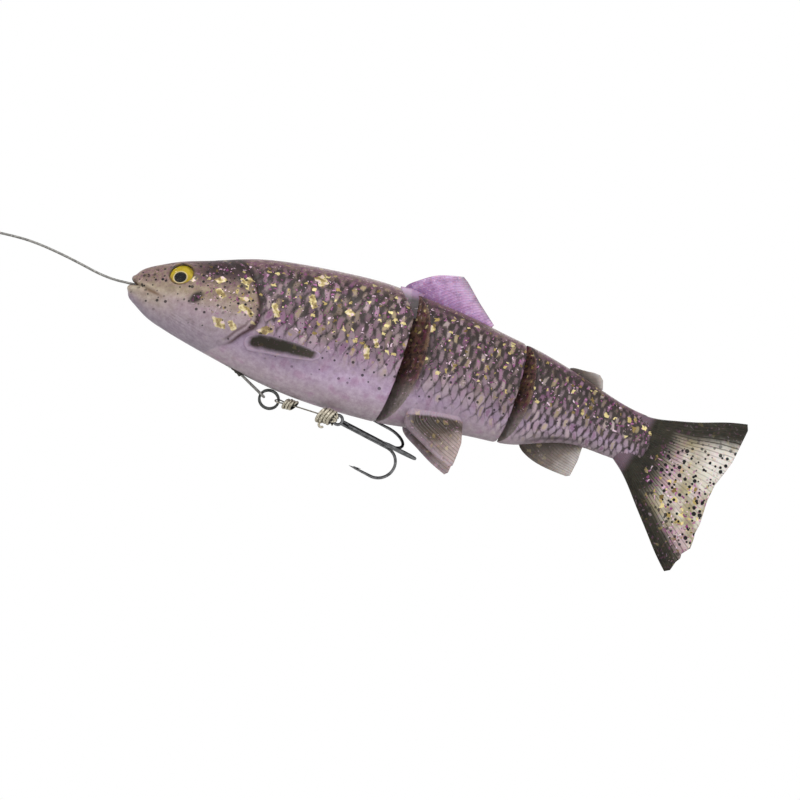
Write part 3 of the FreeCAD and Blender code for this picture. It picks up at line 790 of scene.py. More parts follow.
def front_end(y, z):
    """Front body's rear face, with the corner under the dorsal fin cut forward."""
    chamfer = 87.0 - 0.86 * (flank_height(y, z) - 18.7)
    return np.minimum(face_ahead(FRONT_JOINT_X)(y, z), chamfer)


def stalk_end(y, z):
    """Scale edge on the tail stalk: bowed towards the fin in the middle."""
    share = (z + 0.4) / 9.0
    return 171.6 - 3.6 * np.clip(share, -1.1, 1.1) ** 2 + np.where(z > 0, 1.6, -0.4) * np.abs(share)


def nose(y, z):
    """The snout's tip, where the skin starts."""
    return np.full(np.shape(y), NOSE_X + 0.02)


def rim_x(face, angle, guess):
    """X where each line of the skin meets a face, found by repeated substitution."""
    x = np.full(angle.shape, guess)
    for _ in range(40):
        middle, half_height, half_width = section(x)
        target = face(half_width * np.cos(angle), middle + half_height * np.sin(angle))
        x = 0.5 * x + 0.5 * target
    return x


def skin_rows(rows, columns, start_face, end_face, start_guess, end_guess, crowding):
    """Grid of skin points, row by row, from one face to the other."""
    angle = 2 * math.pi * np.arange(columns) / columns
    start = rim_x(start_face, angle, start_guess)
    end = rim_x(end_face, angle, end_guess)
    share = np.linspace(0, 1, rows)[:, None] ** crowding
    x = start + (end - start) * share
    middle, half_height, half_width = section(x)
    y = half_width * np.cos(angle)
    z = middle + half_height * np.sin(angle)
    return np.stack([x, y, z], axis=2)


def outward(grid):
    """Unit normals of a skin grid."""
    along = np.gradient(grid, axis=0)
    around = np.roll(grid, -1, axis=1) - np.roll(grid, 1, axis=1)
    normal = np.cross(around, along)
    return normal / np.maximum(np.linalg.norm(normal, axis=2, keepdims=True), 1e-9)


def girth_place(grid):
    """Distance round the skin from the middle of the flank, positive towards the back."""
    columns = grid.shape[1]
    step = np.linalg.norm(np.roll(grid, -1, axis=1) - grid, axis=2)
    run = np.concatenate([np.zeros((len(grid), 1)), np.cumsum(step, axis=1)], axis=1)
    half, quarter = columns // 2, columns // 4
    place = np.empty(step.shape)
    place[:, :quarter] = run[:, :quarter]
    place[:, quarter:half] = run[:, half:half + 1] - run[:, quarter:half]
    place[:, half:half + quarter] = run[:, half:half + 1] - run[:, half:half + quarter]
    place[:, half + quarter:] = run[:, half + quarter:columns] - run[:, columns:]
    return place


def scale_phases(x, girth):
    """The two families of slanting lines whose crossings bound the lozenge scales."""
    pitch = SCALE_PITCH - SCALE_PITCH_LOSS * (x - SCALE_START_X)
    along = -np.log(pitch / SCALE_PITCH) / SCALE_PITCH_LOSS
    up = girth / (SCALE_ASPECT * pitch)
    along = along + 0.10 * np.sin(0.9 * girth + 0.35 * x) + 0.07 * np.sin(0.31 * girth - 0.8 * x)
    up = up + 0.07 * np.sin(0.7 * x + 0.4 * girth) + 0.05 * np.sin(1.9 * x)
    return along + up, along - up


# Edge of the gill cover and marks on the head: (x, height seen on the flank).
GILL_EDGE = [
    (24.0, 16.6), (28.5, 16.8), (32.0, 16.0), (35.0, 13.8), (38.4, 10.4), (41.2, 5.4),
    (41.6, 0.5), (40.2, -2.6), (37.6, -5.4), (35.6, -8.2), (32.0, -11.0)]
INNER_RIB = [(23.0, 14.2), (26.6, 14.8), (30.0, 13.4), (32.6, 10.4)]
CHEEK_LINE = [(19.0, 8.0), (22.4, 4.4), (21.0, 0.6), (16.0, -1.6)]
# Dark lines along the fin roots on the body: each root line and its width; the first, along the pelvic fin,
# is a painted shadow band.
FIN_ROOTS = [
    ([(94.0, -16.4), (99.0, -14.4), (106.0, -12.6), (112.8, -12.0)], 1.6),
    ([(133.0, -10.8), (138.0, -7.9), (144.0, -5.8), (151.0, -5.0)], 0.7),
    ([(88.0, 22.6), (100.0, 21.2), (113.4, 20.2)], 0.8),
    ([(140.0, 15.2), (146.0, 13.6), (151.5, 12.2)], 0.7)]
# Dark paint on the head: strength, centre, radii and turn of each blot.
HEAD_BLOTS = [
    (0.75, (31.0, 14.8), (5.2, 1.3), -8.0),
    (0.70, (38.4, 12.0), (1.8, 4.6), 32.0),
    (0.60, (25.4, 12.2), (4.4, 1.6), 4.0),
    (0.95, (21.3, 1.9), (1.7, 2.9), -38.0),
    (0.85, (3.0, 3.6), (0.65, 0.45), 30.0),
    (0.85, (4.4, 3.8), (0.65, 0.45), 30.0),
    (0.85, (6.0, 4.9), (0.65, 0.45), 30.0)]
# Largest flakes of gold leaf under the skin: centre, radii and turn.
BIG_FLAKES = [
    ((27.0, 9.4), (1.7, 1.1), 12.0), ((28.3, 5.4), (1.1, 1.9), 20.0),
    ((30.6, -3.6), (2.1, 1.6), -20.0), ((34.9, -3.0), (1.1, 1.8), 10.0),
    ((35.3, 11.3), (1.5, 1.2), 30.0), ((37.8, 2.6), (1.0, 3.0), 38.0),
    ((36.2, 5.8), (1.6, 0.7), -10.0), ((18.7, 7.0), (1.2, 0.7), 20.0),
    ((45.2, -1.6), (2.1, 1.4), 15.0), ((46.4, 5.4), (1.0, 2.6), 0.0),
    ((57.2, 18.6), (1.7, 1.9), 10.0), ((56.8, 11.6), (1.1, 2.2), 0.0),
    ((68.8, 11.6), (1.2, 1.3), 20.0), ((77.4, 1.6), (0.9, 2.6), -12.0),
    ((79.6, 5.0), (0.8, 1.6), 0.0), ((94.5, 14.7), (1.2, 1.4), 30.0)]
EYE_CENTRE = np.array([14.3, 8.3, 7.0])
EYE_NORMAL = unit((-0.24, 0.88, 0.40))
EYE_RADIUS = 3.9
EYE_SEAT_DEPTH = 2.2
EYE_SECTORS = 72
IRIS_THICKNESS = 0.8
LENS_DOME = 1.3


def eye_reach(grid):
    """Distance from the nearer eye's axis, and height above its centre along that axis."""
    folded = grid * [1, 0, 1] + np.abs(grid) * [0, 1, 0]
    from_eye = folded - EYE_CENTRE
    above = from_eye @ EYE_NORMAL
    radial = np.linalg.norm(from_eye - above[..., None] * EYE_NORMAL, axis=2)
    return radial, above


def mouth_relief(grid):
    """Groove between the lips, the lips themselves, the brown crease at the corner and painted shade in the
    groove near the tip.
    """
    x, z = grid[..., 0], grid[..., 2]
    line = 0.1 - 0.185 * x
    fade = 1 - smoothstep(x, 7.0, 9.2)
    width = 0.95 - 0.06 * np.clip(x, 0, 10)
    off = (z - line) / width
    groove = -1.7 * np.exp(-np.clip(x, 0, None) / 1.6) * bell(off, 0.62) * fade
    groove -= 0.35 * bell(off, 0.5) * (1 - smoothstep(x, 2.0, 7.0))
    lips = 0.55 * bell(np.abs(off) - 1.9, 1.0) * np.exp(-np.clip(x, 0, None) / 6.0) * fade
    crease = bell(off, 1.4) * smoothstep(x, 3.0, 6.5) * (1 - smoothstep(x, 8.0, 12.5))
    # Painted shade inside the mouth's opening at the tip.
    mouth_shade = 0.5 * bell(off, 0.35) * (1 - smoothstep(x, 0.3, 2.2))
    return groove + lips, 0.8 * crease, mouth_shade


def head_relief(grid):
    """Gill cover, cheek, nostrils, throat lines and eye rim, as heights along the normals."""
    x, y, z = grid[..., 0], grid[..., 1], grid[..., 2]
    height = flank_height(y, z)
    gill, gill_place = distance_to_line(x, height, GILL_EDGE)
    ends = smoothstep(gill_place, 0.0, 0.12) * (1 - smoothstep(gill_place, 0.86, 1.0))
    raised = smoothstep(gill_place, 0.10, 0.45) * ends
    relief = 1.0 * np.exp(-np.clip(gill, 0, None) / 4.0) * smoothstep(gill, -0.35, 0.15) * raised
    relief -= 0.7 * np.exp(np.clip(gill, None, 0) / 1.6) * (1 - smoothstep(gill, -0.5, 0.1)) * raised
    rib, rib_place = distance_to_line(x, height, INNER_RIB)
    relief += 0.35 * bell(rib, 0.9) * arch(rib_place, 0.5)
    cheek, cheek_place = distance_to_line(x, height, CHEEK_LINE)
    cheek_step = np.exp(-np.clip(cheek, 0, None) / 3.0) * smoothstep(cheek, -0.6, 0.3)
    relief += 0.12 * cheek_step * arch(cheek_place, 0.5)
    for nostril in ((4.0, 4.0), (5.9, 5.0)):
        relief -= 0.45 * blot(x, height, nostril, (0.6, 0.45), 20.0)
    throat = blot(x, height, (21.0, -8.6), (9.0, 4.0), -14.0)
    relief += 0.07 * throat * np.sin(2 * math.pi * (height + 0.25 * x) / 0.85)
    radial, _ = eye_reach(grid)
    relief += 0.28 * bell(radial - 4.7, 0.7)
    low_end = smoothstep(gill_place, 0.45, 0.75)
    dark = 0.9 * bell(gill + 0.8, 0.9) * ends * (1 - low_end)
    rust = 0.9 * bell(gill + 0.3, 0.55) * ends
    rust = np.maximum(rust, 0.7 * bell(gill - 1.5, 0.45) * ends * low_end)
    rust = np.maximum(rust, 0.8 * blot(x, height, (41.0, -1.8), (1.8, 1.1), 60.0))
    dark = np.maximum(dark, 0.5 * bell(gill - 3.4, 0.8) * smoothstep(height, 6.0, 10.0) * ends)
    for strength, centre, radii, turn in HEAD_BLOTS:
        dark = np.maximum(dark, strength * blot(x, height, centre, radii, turn))
    beside_pectoral = blot(x, height, (52.0, -7.0), (15.5, 4.6), 4.0, 0.9)
    dark = np.maximum(dark, 0.42 * beside_pectoral)
    # Dark lines along the fin roots; the one along the pelvic fin is painted shadow.
    for root_line, width in FIN_ROOTS:
        away, along = distance_to_line(x, height, root_line)
        dark = np.maximum(dark, 0.75 * bell(away, width) * arch(along, 0.3))
    return relief, dark, rust, gill


def socket_floor(grid):
    """Sinks the skin under each eye to the socket's floor."""
    radial, above = eye_reach(grid)
    inside = (1 - smoothstep(radial, EYE_RADIUS - 0.25, EYE_RADIUS + 0.15)) * (above > -4)
    drop = np.clip(above + EYE_SEAT_DEPTH - 0.2, 0, None) * inside
    side = np.sign(grid[..., 1:2])
    normal = EYE_NORMAL * [1, 0, 1] + side * EYE_NORMAL * [0, 1, 0]
    return grid - drop[..., None] * normal


def skin_values(grid):
    """Relief of each skin point, how far scales cover it, and the numbers the skin material reads."""
    x, y, z = grid[..., 0], grid[..., 1], grid[..., 2]
    height = flank_height(y, z)
    middle, half_height, _ = section(x)
    low, high = middle - half_height, middle + half_height
    share = np.clip((height - low) / (high - low), 0, 1)
    mouth, crease, mouth_shade = mouth_relief(grid)
    relief, dark, rust, gill = head_relief(grid)
    ahead = smoothstep(gill, -0.6, 0.4) * (x < 46)
    nape = np.where(height < 17.0, smoothstep(x, 30.0, 38.0), smoothstep(x, 36.0, 42.0))
    behind = 1 - np.maximum(ahead, 1 - nape)
    lowest = np.interp(x, [40, 80, 95, 120, 140, 165], [0.39, 0.37, 0.29, 0.15, 0.03, 0.0])
    cover = smoothstep(share, lowest - 0.10, lowest + 0.12)
    cover = cover * (1 - smoothstep(share, 0.90, 0.98)) * behind
    dark_size = 0.22 + 0.40 * smoothstep(share, lowest + 0.02, 0.84) - 0.08 * smoothstep(share, 0.88, 0.98)
    dark_size = dark_size + 0.10 * smoothstep(x, 112.0, 140.0)
    glitter = 0.06 + 0.94 * smoothstep(share, 0.36, 0.5)
    glitter = glitter * (1 - 0.7 * smoothstep(share, 0.9, 1.0)) * smoothstep(x, 14.0, 28.0)
    big = np.zeros(x.shape)
    for centre, radii, turn in BIG_FLAKES:
        big = np.maximum(big, blot(x, height, centre, radii, turn + 25.0, 0.3, angular=True))
    dots = 0.85 * smoothstep(share, 0.15, 0.28) * (1 - smoothstep(share, 0.52, 0.7) * behind)
    specks = ahead * smoothstep(share, 0.36, 0.55)
    tint = np.interp(share, [0.3, 0.5, 0.8, 0.95], [0.30, 0.50, 0.40, 0.20])
    patches = 0.78 * smoothstep(share, lowest + 0.02, 0.80) * (1 - 0.5 * smoothstep(x, 120.0, 150.0))
    patches = np.maximum(patches, 0.6 * ahead * smoothstep(x, 14.0, 28.0) * smoothstep(share, 0.42, 0.62))
    dusk = 0.13 * smoothstep(x, 86.0, 94.0) + 0.05 * smoothstep(share, 0.5, 0.7)
    dark = np.maximum.reduce([dark, mouth_shade * smoothstep(x, -2, 2), dusk])
    crown = 0.85 * smoothstep(x, 12.0, 24.0) * smoothstep(share, 0.66, 0.84) * ahead
    snout = (1 - smoothstep(x, 2.0, 20.0)) * smoothstep(share, 0.04, 0.40)
    return relief + mouth, cover, {
        "height_share": share,
        "snout_share": 0.75 * snout,
        "head_share": ahead * (1 - smoothstep(share, 0.94, 1.0) * 0.5),
        "scale_cover": cover,
        "dark_size": dark_size,
        "dark_paint": np.clip(dark, 0, 1),
        "brown_paint": crease,
        "rust_paint": np.clip(rust, 0, 1),
        "glitter_share": glitter,
        "big_flake": big,
        "crown_share": crown,
        "dot_share": dots,
        "speck_share": specks,
        "tint_share": tint,
        "patch_share": patches,
        "flank_side": np.sign(y),
    }


def shaped_skin(grid):
    """Skin points with their relief, and the numbers for the material."""
    relief, cover, values = skin_values(grid)
    girth = girth_place(grid)
    a, b = scale_phases(grid[..., 0], girth)
    across_a, across_b = a - np.floor(a), b - np.floor(b)
    edge = np.clip((1 - np.maximum(across_a, across_b)) / 0.14, 0, 1)
    lift = (0.35 + 0.65 * (across_a + across_b) / 2) * edge
    relief = relief + SCALE_RELIEF * cover * lift
    values["scale_a"] = a
    values["scale_b"] = b
    flat = np.stack([grid[..., 0] + 300 * np.sign(grid[..., 1]), girth, 0 * girth], axis=2)
    return socket_floor(grid + relief[..., None] * outward(grid)), values, flat


def round_rims(grid, start_open, end_open, reach=1.0, depth=0.35):
    """Rolls the skin in a little where it meets a cut face."""
    normal = outward(grid)
    from_start = np.linalg.norm(grid - grid[:1], axis=2)
    from_end = np.linalg.norm(grid - grid[-1:], axis=2)
    roll = np.zeros(from_start.shape)
    if start_open:
        roll += depth * np.clip(1 - from_start / reach, 0, 1) ** 2
    if end_open:
        roll += depth * np.clip(1 - from_end / reach, 0, 1) ** 2
    return grid - roll[..., None] * normal


def cap_levels(columns):
    """Rim columns of the right flank from the belly up, and their mirror columns on the left."""
    half = columns // 2
    levels = (np.arange(1, half) - columns // 4) % columns
    return levels, (half - levels) % columns


def cap_points(rim, face, inner):
    """Points of a V face between mirrored rim points, from the belly up, right to left."""
    levels, mirrored = cap_levels(len(rim))
    share = np.linspace(0, 1, inner + 2)[1:-1]
    points = []
    for right, left in zip(levels, mirrored):
        line = rim[right] + (rim[left] - rim[right]) * share[:, None]
        rim_plane = face(rim[right][1], rim[right][2])
        line[:, 0] = face(line[:, 1], line[:, 2]) + (rim[right][0] - rim_plane)
        points.append(line)
    return np.array(points), levels, mirrored


def cap_faces(rim_start, cap_start, columns, inner, flip):
    """Faces of a V face; rim_start is the first index of its rim row."""
    rows = []
    for level, (right, left) in enumerate(zip(*cap_levels(columns))):
        own = [cap_start + level * inner + k for k in range(inner)]
        rows.append([rim_start + right, *own, rim_start + left])
    bottom = rim_start + (-(columns // 4)) % columns
    top = rim_start + columns // 4
    faces = []
    for k in range(inner + 1):
        faces.append((bottom, rows[0][k + 1], rows[0][k]))
        faces.append((rows[-1][k], rows[-1][k + 1], top))
    for lower, upper in zip(rows[:-1], rows[1:]):
        for k in range(inner + 1):
            faces.append((lower[k], lower[k + 1], upper[k + 1], upper[k]))
    return [tuple(reversed(f)) for f in faces] if flip else faces


LINE_HOLE_RADIUS = 1.25
LINE_HOLE_FROM_X = 30.0


def line_hole(grid):
    """The leader's hole in the belly: how far each point lifts to its roof, how far away it is,
    and the faces left out at its mouth."""
    offset = grid - RING_LOOP_CENTRE
    across = offset[..., 1]
    rise = offset @ RIG_UP
    away = np.where(grid[..., 0] > LINE_HOLE_FROM_X, np.hypot(across, rise), 100.0)
    inside = away < LINE_HOLE_RADIUS
    roof = np.sqrt(np.clip(LINE_HOLE_RADIUS ** 2 - across ** 2, 0, None))
    lift = np.where(inside, roof - rise, 0)
    above = any_corner(inside & (np.abs(across) < 0.8 * LINE_HOLE_RADIUS))
    below = any_corner((away >= LINE_HOLE_RADIUS) & (rise < 0))
    return lift, away, above & below


def any_corner(flags):
    """For each quad of a grid that closes round its columns, whether a corner has the flag."""
    after = np.roll(flags, -1, axis=1)
    return flags[:-1] | flags[1:] | after[:-1] | after[1:]


CAP_COLUMNS = 15


def make_body(name, size, end_faces, guesses, crowding, materials):
    """One soft body segment: shaped skin and, where it is cut, its V faces.

    size is rows along the body and columns round it; guesses are roughly where the faces lie, and
    crowding above 1 packs the rows towards the start."""
    rows, columns = size
    start_face, end_face = end_faces
    start_open = start_face is not nose
    base = skin_rows(rows, columns, start_face, end_face, *guesses, crowding)
    grid, values, flat = shaped_skin(base)
    from_start = np.linalg.norm(base - base[:1], axis=2)
    # Painted shade on the skin just behind a joint face, blending into the shaded gap.
    if start_open:
        gap_rim_shade = 0.8 * bell(from_start, 1.8) * smoothstep(values["height_share"], 0.1, 0.5)
        values["dark_paint"] = np.maximum(values["dark_paint"], gap_rim_shade)
    if end_face is stalk_end:
        from_end = np.linalg.norm(base - base[-1:], axis=2)
        values["dark_paint"] = np.maximum(values["dark_paint"], 0.75 * bell(from_end, 2.6))
    lift, away, mouth = line_hole(grid)
    # Painted shade round the mouth of the leader's hole.
    hole_rim_shade = 0.75 * bell(np.clip(away - LINE_HOLE_RADIUS, 0, None), 0.6)
    values["dark_paint"] = np.maximum(values["dark_paint"], hole_rim_shade)
    grid = round_rims(grid + lift[..., None] * RIG_UP, start_open, True)
    flats = [flat.reshape(-1, 3)]
    points = [grid.reshape(-1, 3)]
    numbers = {key: [array.ravel()] for key, array in values.items()}
    quads = np.array(grid_faces(rows, columns))
    faces = [quads[~mouth.ravel(), ::-1].tolist()]
    face_material = [0] * len(faces[0])
    total = rows * columns
    ends = [(0, start_face, False), (rows - 1, end_face, True)]
    for row, face, flip in ends:
        if row == 0 and not start_open:
            points.append(grid[0].mean(axis=0, keepdims=True))
            flats.append(points[-1])
            for key, array in values.items():
                numbers[key].append([array[0].mean()])
            fan = [(total, (j + 1) % columns, j) for j in range(columns)]
            faces.append([tuple(reversed(f)) for f in fan])
            face_material += [0] * columns
            total += 1
            continue
        inner_points, levels, mirrored = cap_points(grid[row], face, CAP_COLUMNS)
        points.append(inner_points.reshape(-1, 3))
        flats.append(points[-1][:, [1, 2, 0]])
        for key, array in values.items():
            pair = (array[row][levels] + array[row][mirrored]) / 2
            numbers[key].append(np.repeat(pair, CAP_COLUMNS))
        cap = cap_faces(row * columns, total, columns, CAP_COLUMNS, flip)
        faces.append(cap)
        face_material += [1] * len(cap)
        total += inner_points.shape[0] * CAP_COLUMNS
    faces = [face for part in faces for face in part]
    values = {key: np.concatenate(parts) for key, parts in numbers.items()}
    flat = np.concatenate(flats)
    return make_piece(name, np.concatenate(points), faces, materials, face_material, values, flat)


# ---------------------------------------------------------------- fins
def patch(root, tip, lead, trail, across, out):
    """Grid of (x, z) points inside four border lines that meet at their ends."""
    root_line = spaced(root, across)
    tip_line = spaced(tip, across, smooth=False)
    lead_line = spaced(lead, out)
    trail_line = spaced(trail, out)
    u = np.linspace(0, 1, across)[:, None, None]
    v = np.linspace(0, 1, out)[None, :, None]
    sides = (1 - u) * lead_line[None] + u * trail_line[None]
    ends = (1 - v) * root_line[:, None] + v * tip_line[:, None]
    corners = ((1 - u) * (1 - v) * root_line[0] + u * (1 - v) * root_line[-1]
               + (1 - u) * v * tip_line[0] + u * v * tip_line[-1])
    return sides + ends - corners


def make_fin(name, borders, size, half_thickness, rays, to_space, material, extra=None):
    """Closed fin plate. half_thickness(x, z, across, out) thins towards its free edges."""
    across, out = size
    flat = patch(*borders, across, out)
    u = np.repeat(np.linspace(0, 1, across)[:, None], out, axis=1)
    v = np.repeat(np.linspace(0, 1, out)[None, :], across, axis=0)
    x, z = flat[..., 0], flat[..., 1]
    ray_count, ray_height = rays
    ridge = np.abs(np.sin(math.pi * ray_count * u)) ** 0.7
    ridge = ridge * smoothstep(v, 0.0, 0.1) * (1 - smoothstep(v, 0.9, 1.0))
    half = np.maximum(half_thickness(x, z, u, v) - ray_height * ridge, 0.06)
    near = to_space(x, z, -half)
    far = to_space(x, z, half)
    points = np.concatenate([near.reshape(-1, 3), far.reshape(-1, 3)])
    count = across * out
    index = np.arange(count).reshape(across, out)
    faces = []
    for i in range(across - 1):
        for j in range(out - 1):
            a, b = index[i, j], index[i + 1, j]
            c, d = index[i + 1, j + 1], index[i, j + 1]
            faces.append((a, b, c, d))
            faces.append((d + count, c + count, b + count, a + count))
    border = [*index[:, 0], *index[-1, 1:], *index[-2::-1, -1], *index[0, -2:0:-1]]
    for a, b in zip(border, border[1:] + border[:1]):
        faces.append((b, a, a + count, b + count))
    numbers = {"fin_across": u, "fin_out": v, "dusk_share": 0.0 * u, "skin_share": 0.0 * u}
    if extra:
        numbers.update(extra(x, z, u, v))
    values = {key: np.concatenate([array.ravel()] * 2) for key, array in numbers.items()}
    return make_piece(name, points, faces, [material], values=values)


def upright(x, z, off):
    """Fin plane on the body's middle plane."""
    return np.stack([x, off, z], axis=-1)


def tapered(full, rim):
    """Half thickness that falls from full at the root to rim at the free edges."""
    def half_thickness(x, z, u, v):
        fall = np.sqrt(np.clip(1 - v ** 3, 0, 1)) * np.sqrt(np.clip(np.minimum(u, 1 - u) / 0.06, 0, 1))
        return rim + (full - rim) * fall

    return half_thickness


def make_dorsal_fin(material):
    """Dorsal fin: rooted in the middle body, its front corner reaching over the front body."""
    borders = (
        [(82.6, 24.0), (90.0, 22.6), (100.0, 21.4), (112.6, 20.4)],
        [(99.6, 34.1), (101.4, 32.9), (107.2, 27.4), (113.4, 22.2)],
        [(82.6, 24.0), (83.0, 25.6), (85.6, 28.2), (90.9, 31.7), (95.8, 33.3), (99.6, 34.1)],
        [(112.6, 20.4), (113.4, 22.2)])
    fin = make_fin("dorsal_fin_plate", borders, (110, 60), tapered(0.9, 0.22),
                   (22, 0.10), upright, material)
    bridge(fin, ("front", "middle"), (0.0815, 0, 0.02), (0.0885, 0, 0.02), "purple_fin", "dorsal_fin")


def make_adipose_fin(material):
    """Adipose fin: a small lobe on the tail body's back."""
    borders = (
        [(139.8, 14.4), (145.0, 13.4), (150.6, 11.6)],
        [(148.4, 17.3), (150.4, 17.1), (151.8, 15.8), (152.6, 13.0)],
        [(139.8, 14.4), (140.4, 16.1), (144.0, 17.0), (148.4, 17.3)],
        [(150.6, 11.6), (152.6, 13.0)])
    fin = make_fin("adipose_fin_plate", borders, (50, 24), tapered(0.9, 0.22),
                   (10, 0.04), upright, material)
    settle(fin, "tail", "pale_fin", "adipose_fin")


def make_anal_fin(material):
    """Anal fin, on the tail body's belly."""
    def dark_root(x, z, u, v):
        above = z - np.interp(x, [133.0, 138.0, 144.0, 151.0], [-10.8, -7.9, -5.8, -5.0])
        return {"dusk_share": 0.8 * bell(above + 1.4, 1.5)}

    borders = (
        [(131.6, -9.0), (140.0, -5.4), (150.0, -4.2)],
        [(149.4, -17.0), (150.6, -16.4), (151.6, -11.0), (151.7, -6.4)],
        [(131.6, -9.0), (132.0, -11.4), (136.0, -14.7), (141.7, -16.3), (149.4, -17.0)],
        [(150.0, -4.2), (151.7, -6.4)])
    fin = make_fin("anal_fin_plate", borders, (100, 50), tapered(0.9, 0.2),
                   (20, 0.07), upright, material, dark_root)
    settle(fin, "tail", "pale_fin", "anal_fin")


PELVIC_ROOT_Y = 8.0
PELVIC_ROOT_Z = -12.0
PELVIC_SPLAY = math.radians(28.0)


def make_pelvic_fin(side, name, material):
    """Pelvic fin, leant outwards about its root line; side is -1 for the left."""
    def leant(x, drop, off):
        y = PELVIC_ROOT_Y - drop * math.sin(PELVIC_SPLAY) - off * side * math.cos(PELVIC_SPLAY)
        z = PELVIC_ROOT_Z + drop * math.cos(PELVIC_SPLAY) - off * side * math.sin(PELVIC_SPLAY)
        return np.stack([x, side * y, z], axis=-1)

    borders = (
        [(96.0, 2.4), (102.0, 3.4), (110.0, 4.4)],
        [(112.8, -16.6), (113.8, -15.6), (114.2, -11.0), (114.4, -7.0), (112.9, 0.8)],
        [(96.0, 2.4), (95.2, -2.0), (95.4, -5.6), (100.7, -10.1), (107.1, -14.0), (112.8, -16.6)],
        [(110.0, 4.4), (112.9, 0.8)])

    def paint(x, drop, u, v):
        """Skin colour down to the root line, a painted shadow band along it, and skin colour along the
        leading edge.
        """
        y = PELVIC_ROOT_Y - drop * math.sin(PELVIC_SPLAY)
        z = PELVIC_ROOT_Z + drop * math.cos(PELVIC_SPLAY)
        above = flank_height(y, z) - np.interp(x, [94.0, 99.0, 106.0, 112.8], [-16.4, -14.8, -13.4, -12.8])
        edge = 0.5 * (1 - smoothstep(u, 0.0, 0.24))
        return {"skin_share": np.maximum(0.96 * smoothstep(above, 1.3, 3.0), edge),
                "dusk_share": 0.85 * bell(above - 0.2, 2.0)}

    fin = make_fin(name + "_plate", borders, (100, 56), tapered(0.9, 0.22),
                   (18, 0.05), leant, material, paint)
    settle(fin, "middle", "dark_fin", name)


def make_pectoral_fin(side, name, material):
    """Pectoral fin, laid back flat along the flank; side is -1 for the left."""
    def laid(x, z, off):
        middle, half_height, half_width = section(x)
        reach = half_width * np.sqrt(np.clip(1 - ((z - middle) / half_height) ** 2, 0, 1))
        lift = 0.12 * smoothstep(x, 48.0, 62.0) - 0.14
        return np.stack([x, side * (reach + lift - side * off), z], axis=-1)

    borders = (
        [(40.1, -6.6), (39.9, -8.4), (41.7, -10.4)],
        [(63.3, -4.5), (64.3, -5.2), (63.9, -6.4), (61.9, -7.8)],
        [(40.1, -6.6), (42.5, -5.0), (47.5, -4.1), (55.5, -3.9), (63.3, -4.5)],
        [(41.7, -10.4), (46.5, -9.9), (53.5, -9.1), (61.9, -7.8)])

    def blurred_edges(x, z, u, v):
        """Skin colour towards the edges, most along the lower one."""
        width = 1 - 0.5 * (2 * v - 1) ** 4
        across = np.where(u < 0.42, 0.8, 1.0) * np.abs(u - 0.42) / (0.55 * width)
        ends = np.maximum(1 - v / 0.12, (v - 0.88) / 0.12)
        return {"skin_share": 0.96 * np.clip(np.maximum((across - 0.2) / 0.95, ends), 0, 1)}

    fin = make_fin(name + "_plate", borders, (44, 110), tapered(0.5, 0.10),
                   (9, 0.06), laid, material, blurred_edges)
    settle(fin, "front", "dark_fin", name)


FLEX_START = (0.160, 0, 0)
FLEX_END = (0.170, 0, 0)
TAIL_FIN_ROOT = 3.0
TAIL_FIN_EDGE = 0.45
TAIL_FIN_END_X = 201.5


def make_tail_fin(material):
    """Tail fin: it thins from the stalk to a ragged trailing edge."""
    def half_thickness(x, z, u, v):
        full = np.interp(x, [FIN_JOINT_X + 2, TAIL_FIN_END_X], [TAIL_FIN_ROOT, TAIL_FIN_EDGE])
        across = np.sqrt(np.clip(1 - (2 * u - 1) ** 4, 0, 1))
        end = np.sqrt(np.clip((1 - v) / 0.03, 0, 1))
        return 0.16 + (full - 0.16) * across * (0.4 + 0.6 * end)

    def numbers(x, z, u, v):
        root = 1 - smoothstep(v, 0.26, 0.70)
        upper = smoothstep(u, 0.60 + 0.16 * v, 0.94)
        lower = 1 - smoothstep(u, 0.04, 0.32 - 0.09 * v)
        web = smoothstep(v, 0.24, 0.45)
        glitter = np.clip(web * (0.3 + 0.9 * smoothstep(0.72 - u, 0.0, 0.3)), 0, 1)
        return {
            "skin_share": 0.9 * (1 - smoothstep(x - 0.26 * z, 167.0, 170.0)),
            "border_share": np.maximum(np.maximum(root, upper), lower),
            "glitter_share": glitter * (1 - 0.85 * lower) * (1 - 0.7 * upper),
            "dot_share": web * (1 - upper) * (1 - 0.6 * lower),
            "pale_share": smoothstep(v, 0.55, 0.9) * smoothstep(u, 0.45, 0.65),
            "cluster_share": 1 - smoothstep(np.hypot((u - 0.36) / 0.26, (v - 0.62) / 0.36), 0.6, 1.0),
        }

    borders = (
        [(161.0, -6.3), (163.0, 0.0), (164.5, 9.3)],
        [(188.0, -36.4), (189.7, -35.5), (190.6, -32.6), (191.7, -31.0), (191.6, -29.6),
         (193.8, -27.0), (194.0, -23.4), (193.8, -22.3), (194.5, -18.8), (194.6, -11.0),
         (195.5, -5.4), (197.6, -0.2), (198.8, 3.3), (199.7, 8.9), (200.6, 14.4), (199.9, 16.3)],
        [(161.0, -6.3), (165.4, -9.9), (169.2, -14.0), (173.6, -19.5), (179.1, -26.2),
         (184.0, -32.2), (188.0, -36.4)],
        [(164.5, 9.3), (171.0, 9.2), (177.4, 10.4), (184.2, 12.0), (194.6, 15.2), (199.9, 16.3)])
    fin = make_fin("tail_fin_plate", borders, (150, 120), half_thickness, (34, 0.09), upright,
                   material, numbers)
    bridge(fin, ("tail", "tail_fin"), FLEX_START, FLEX_END, "tail_fin", "tail_fin")


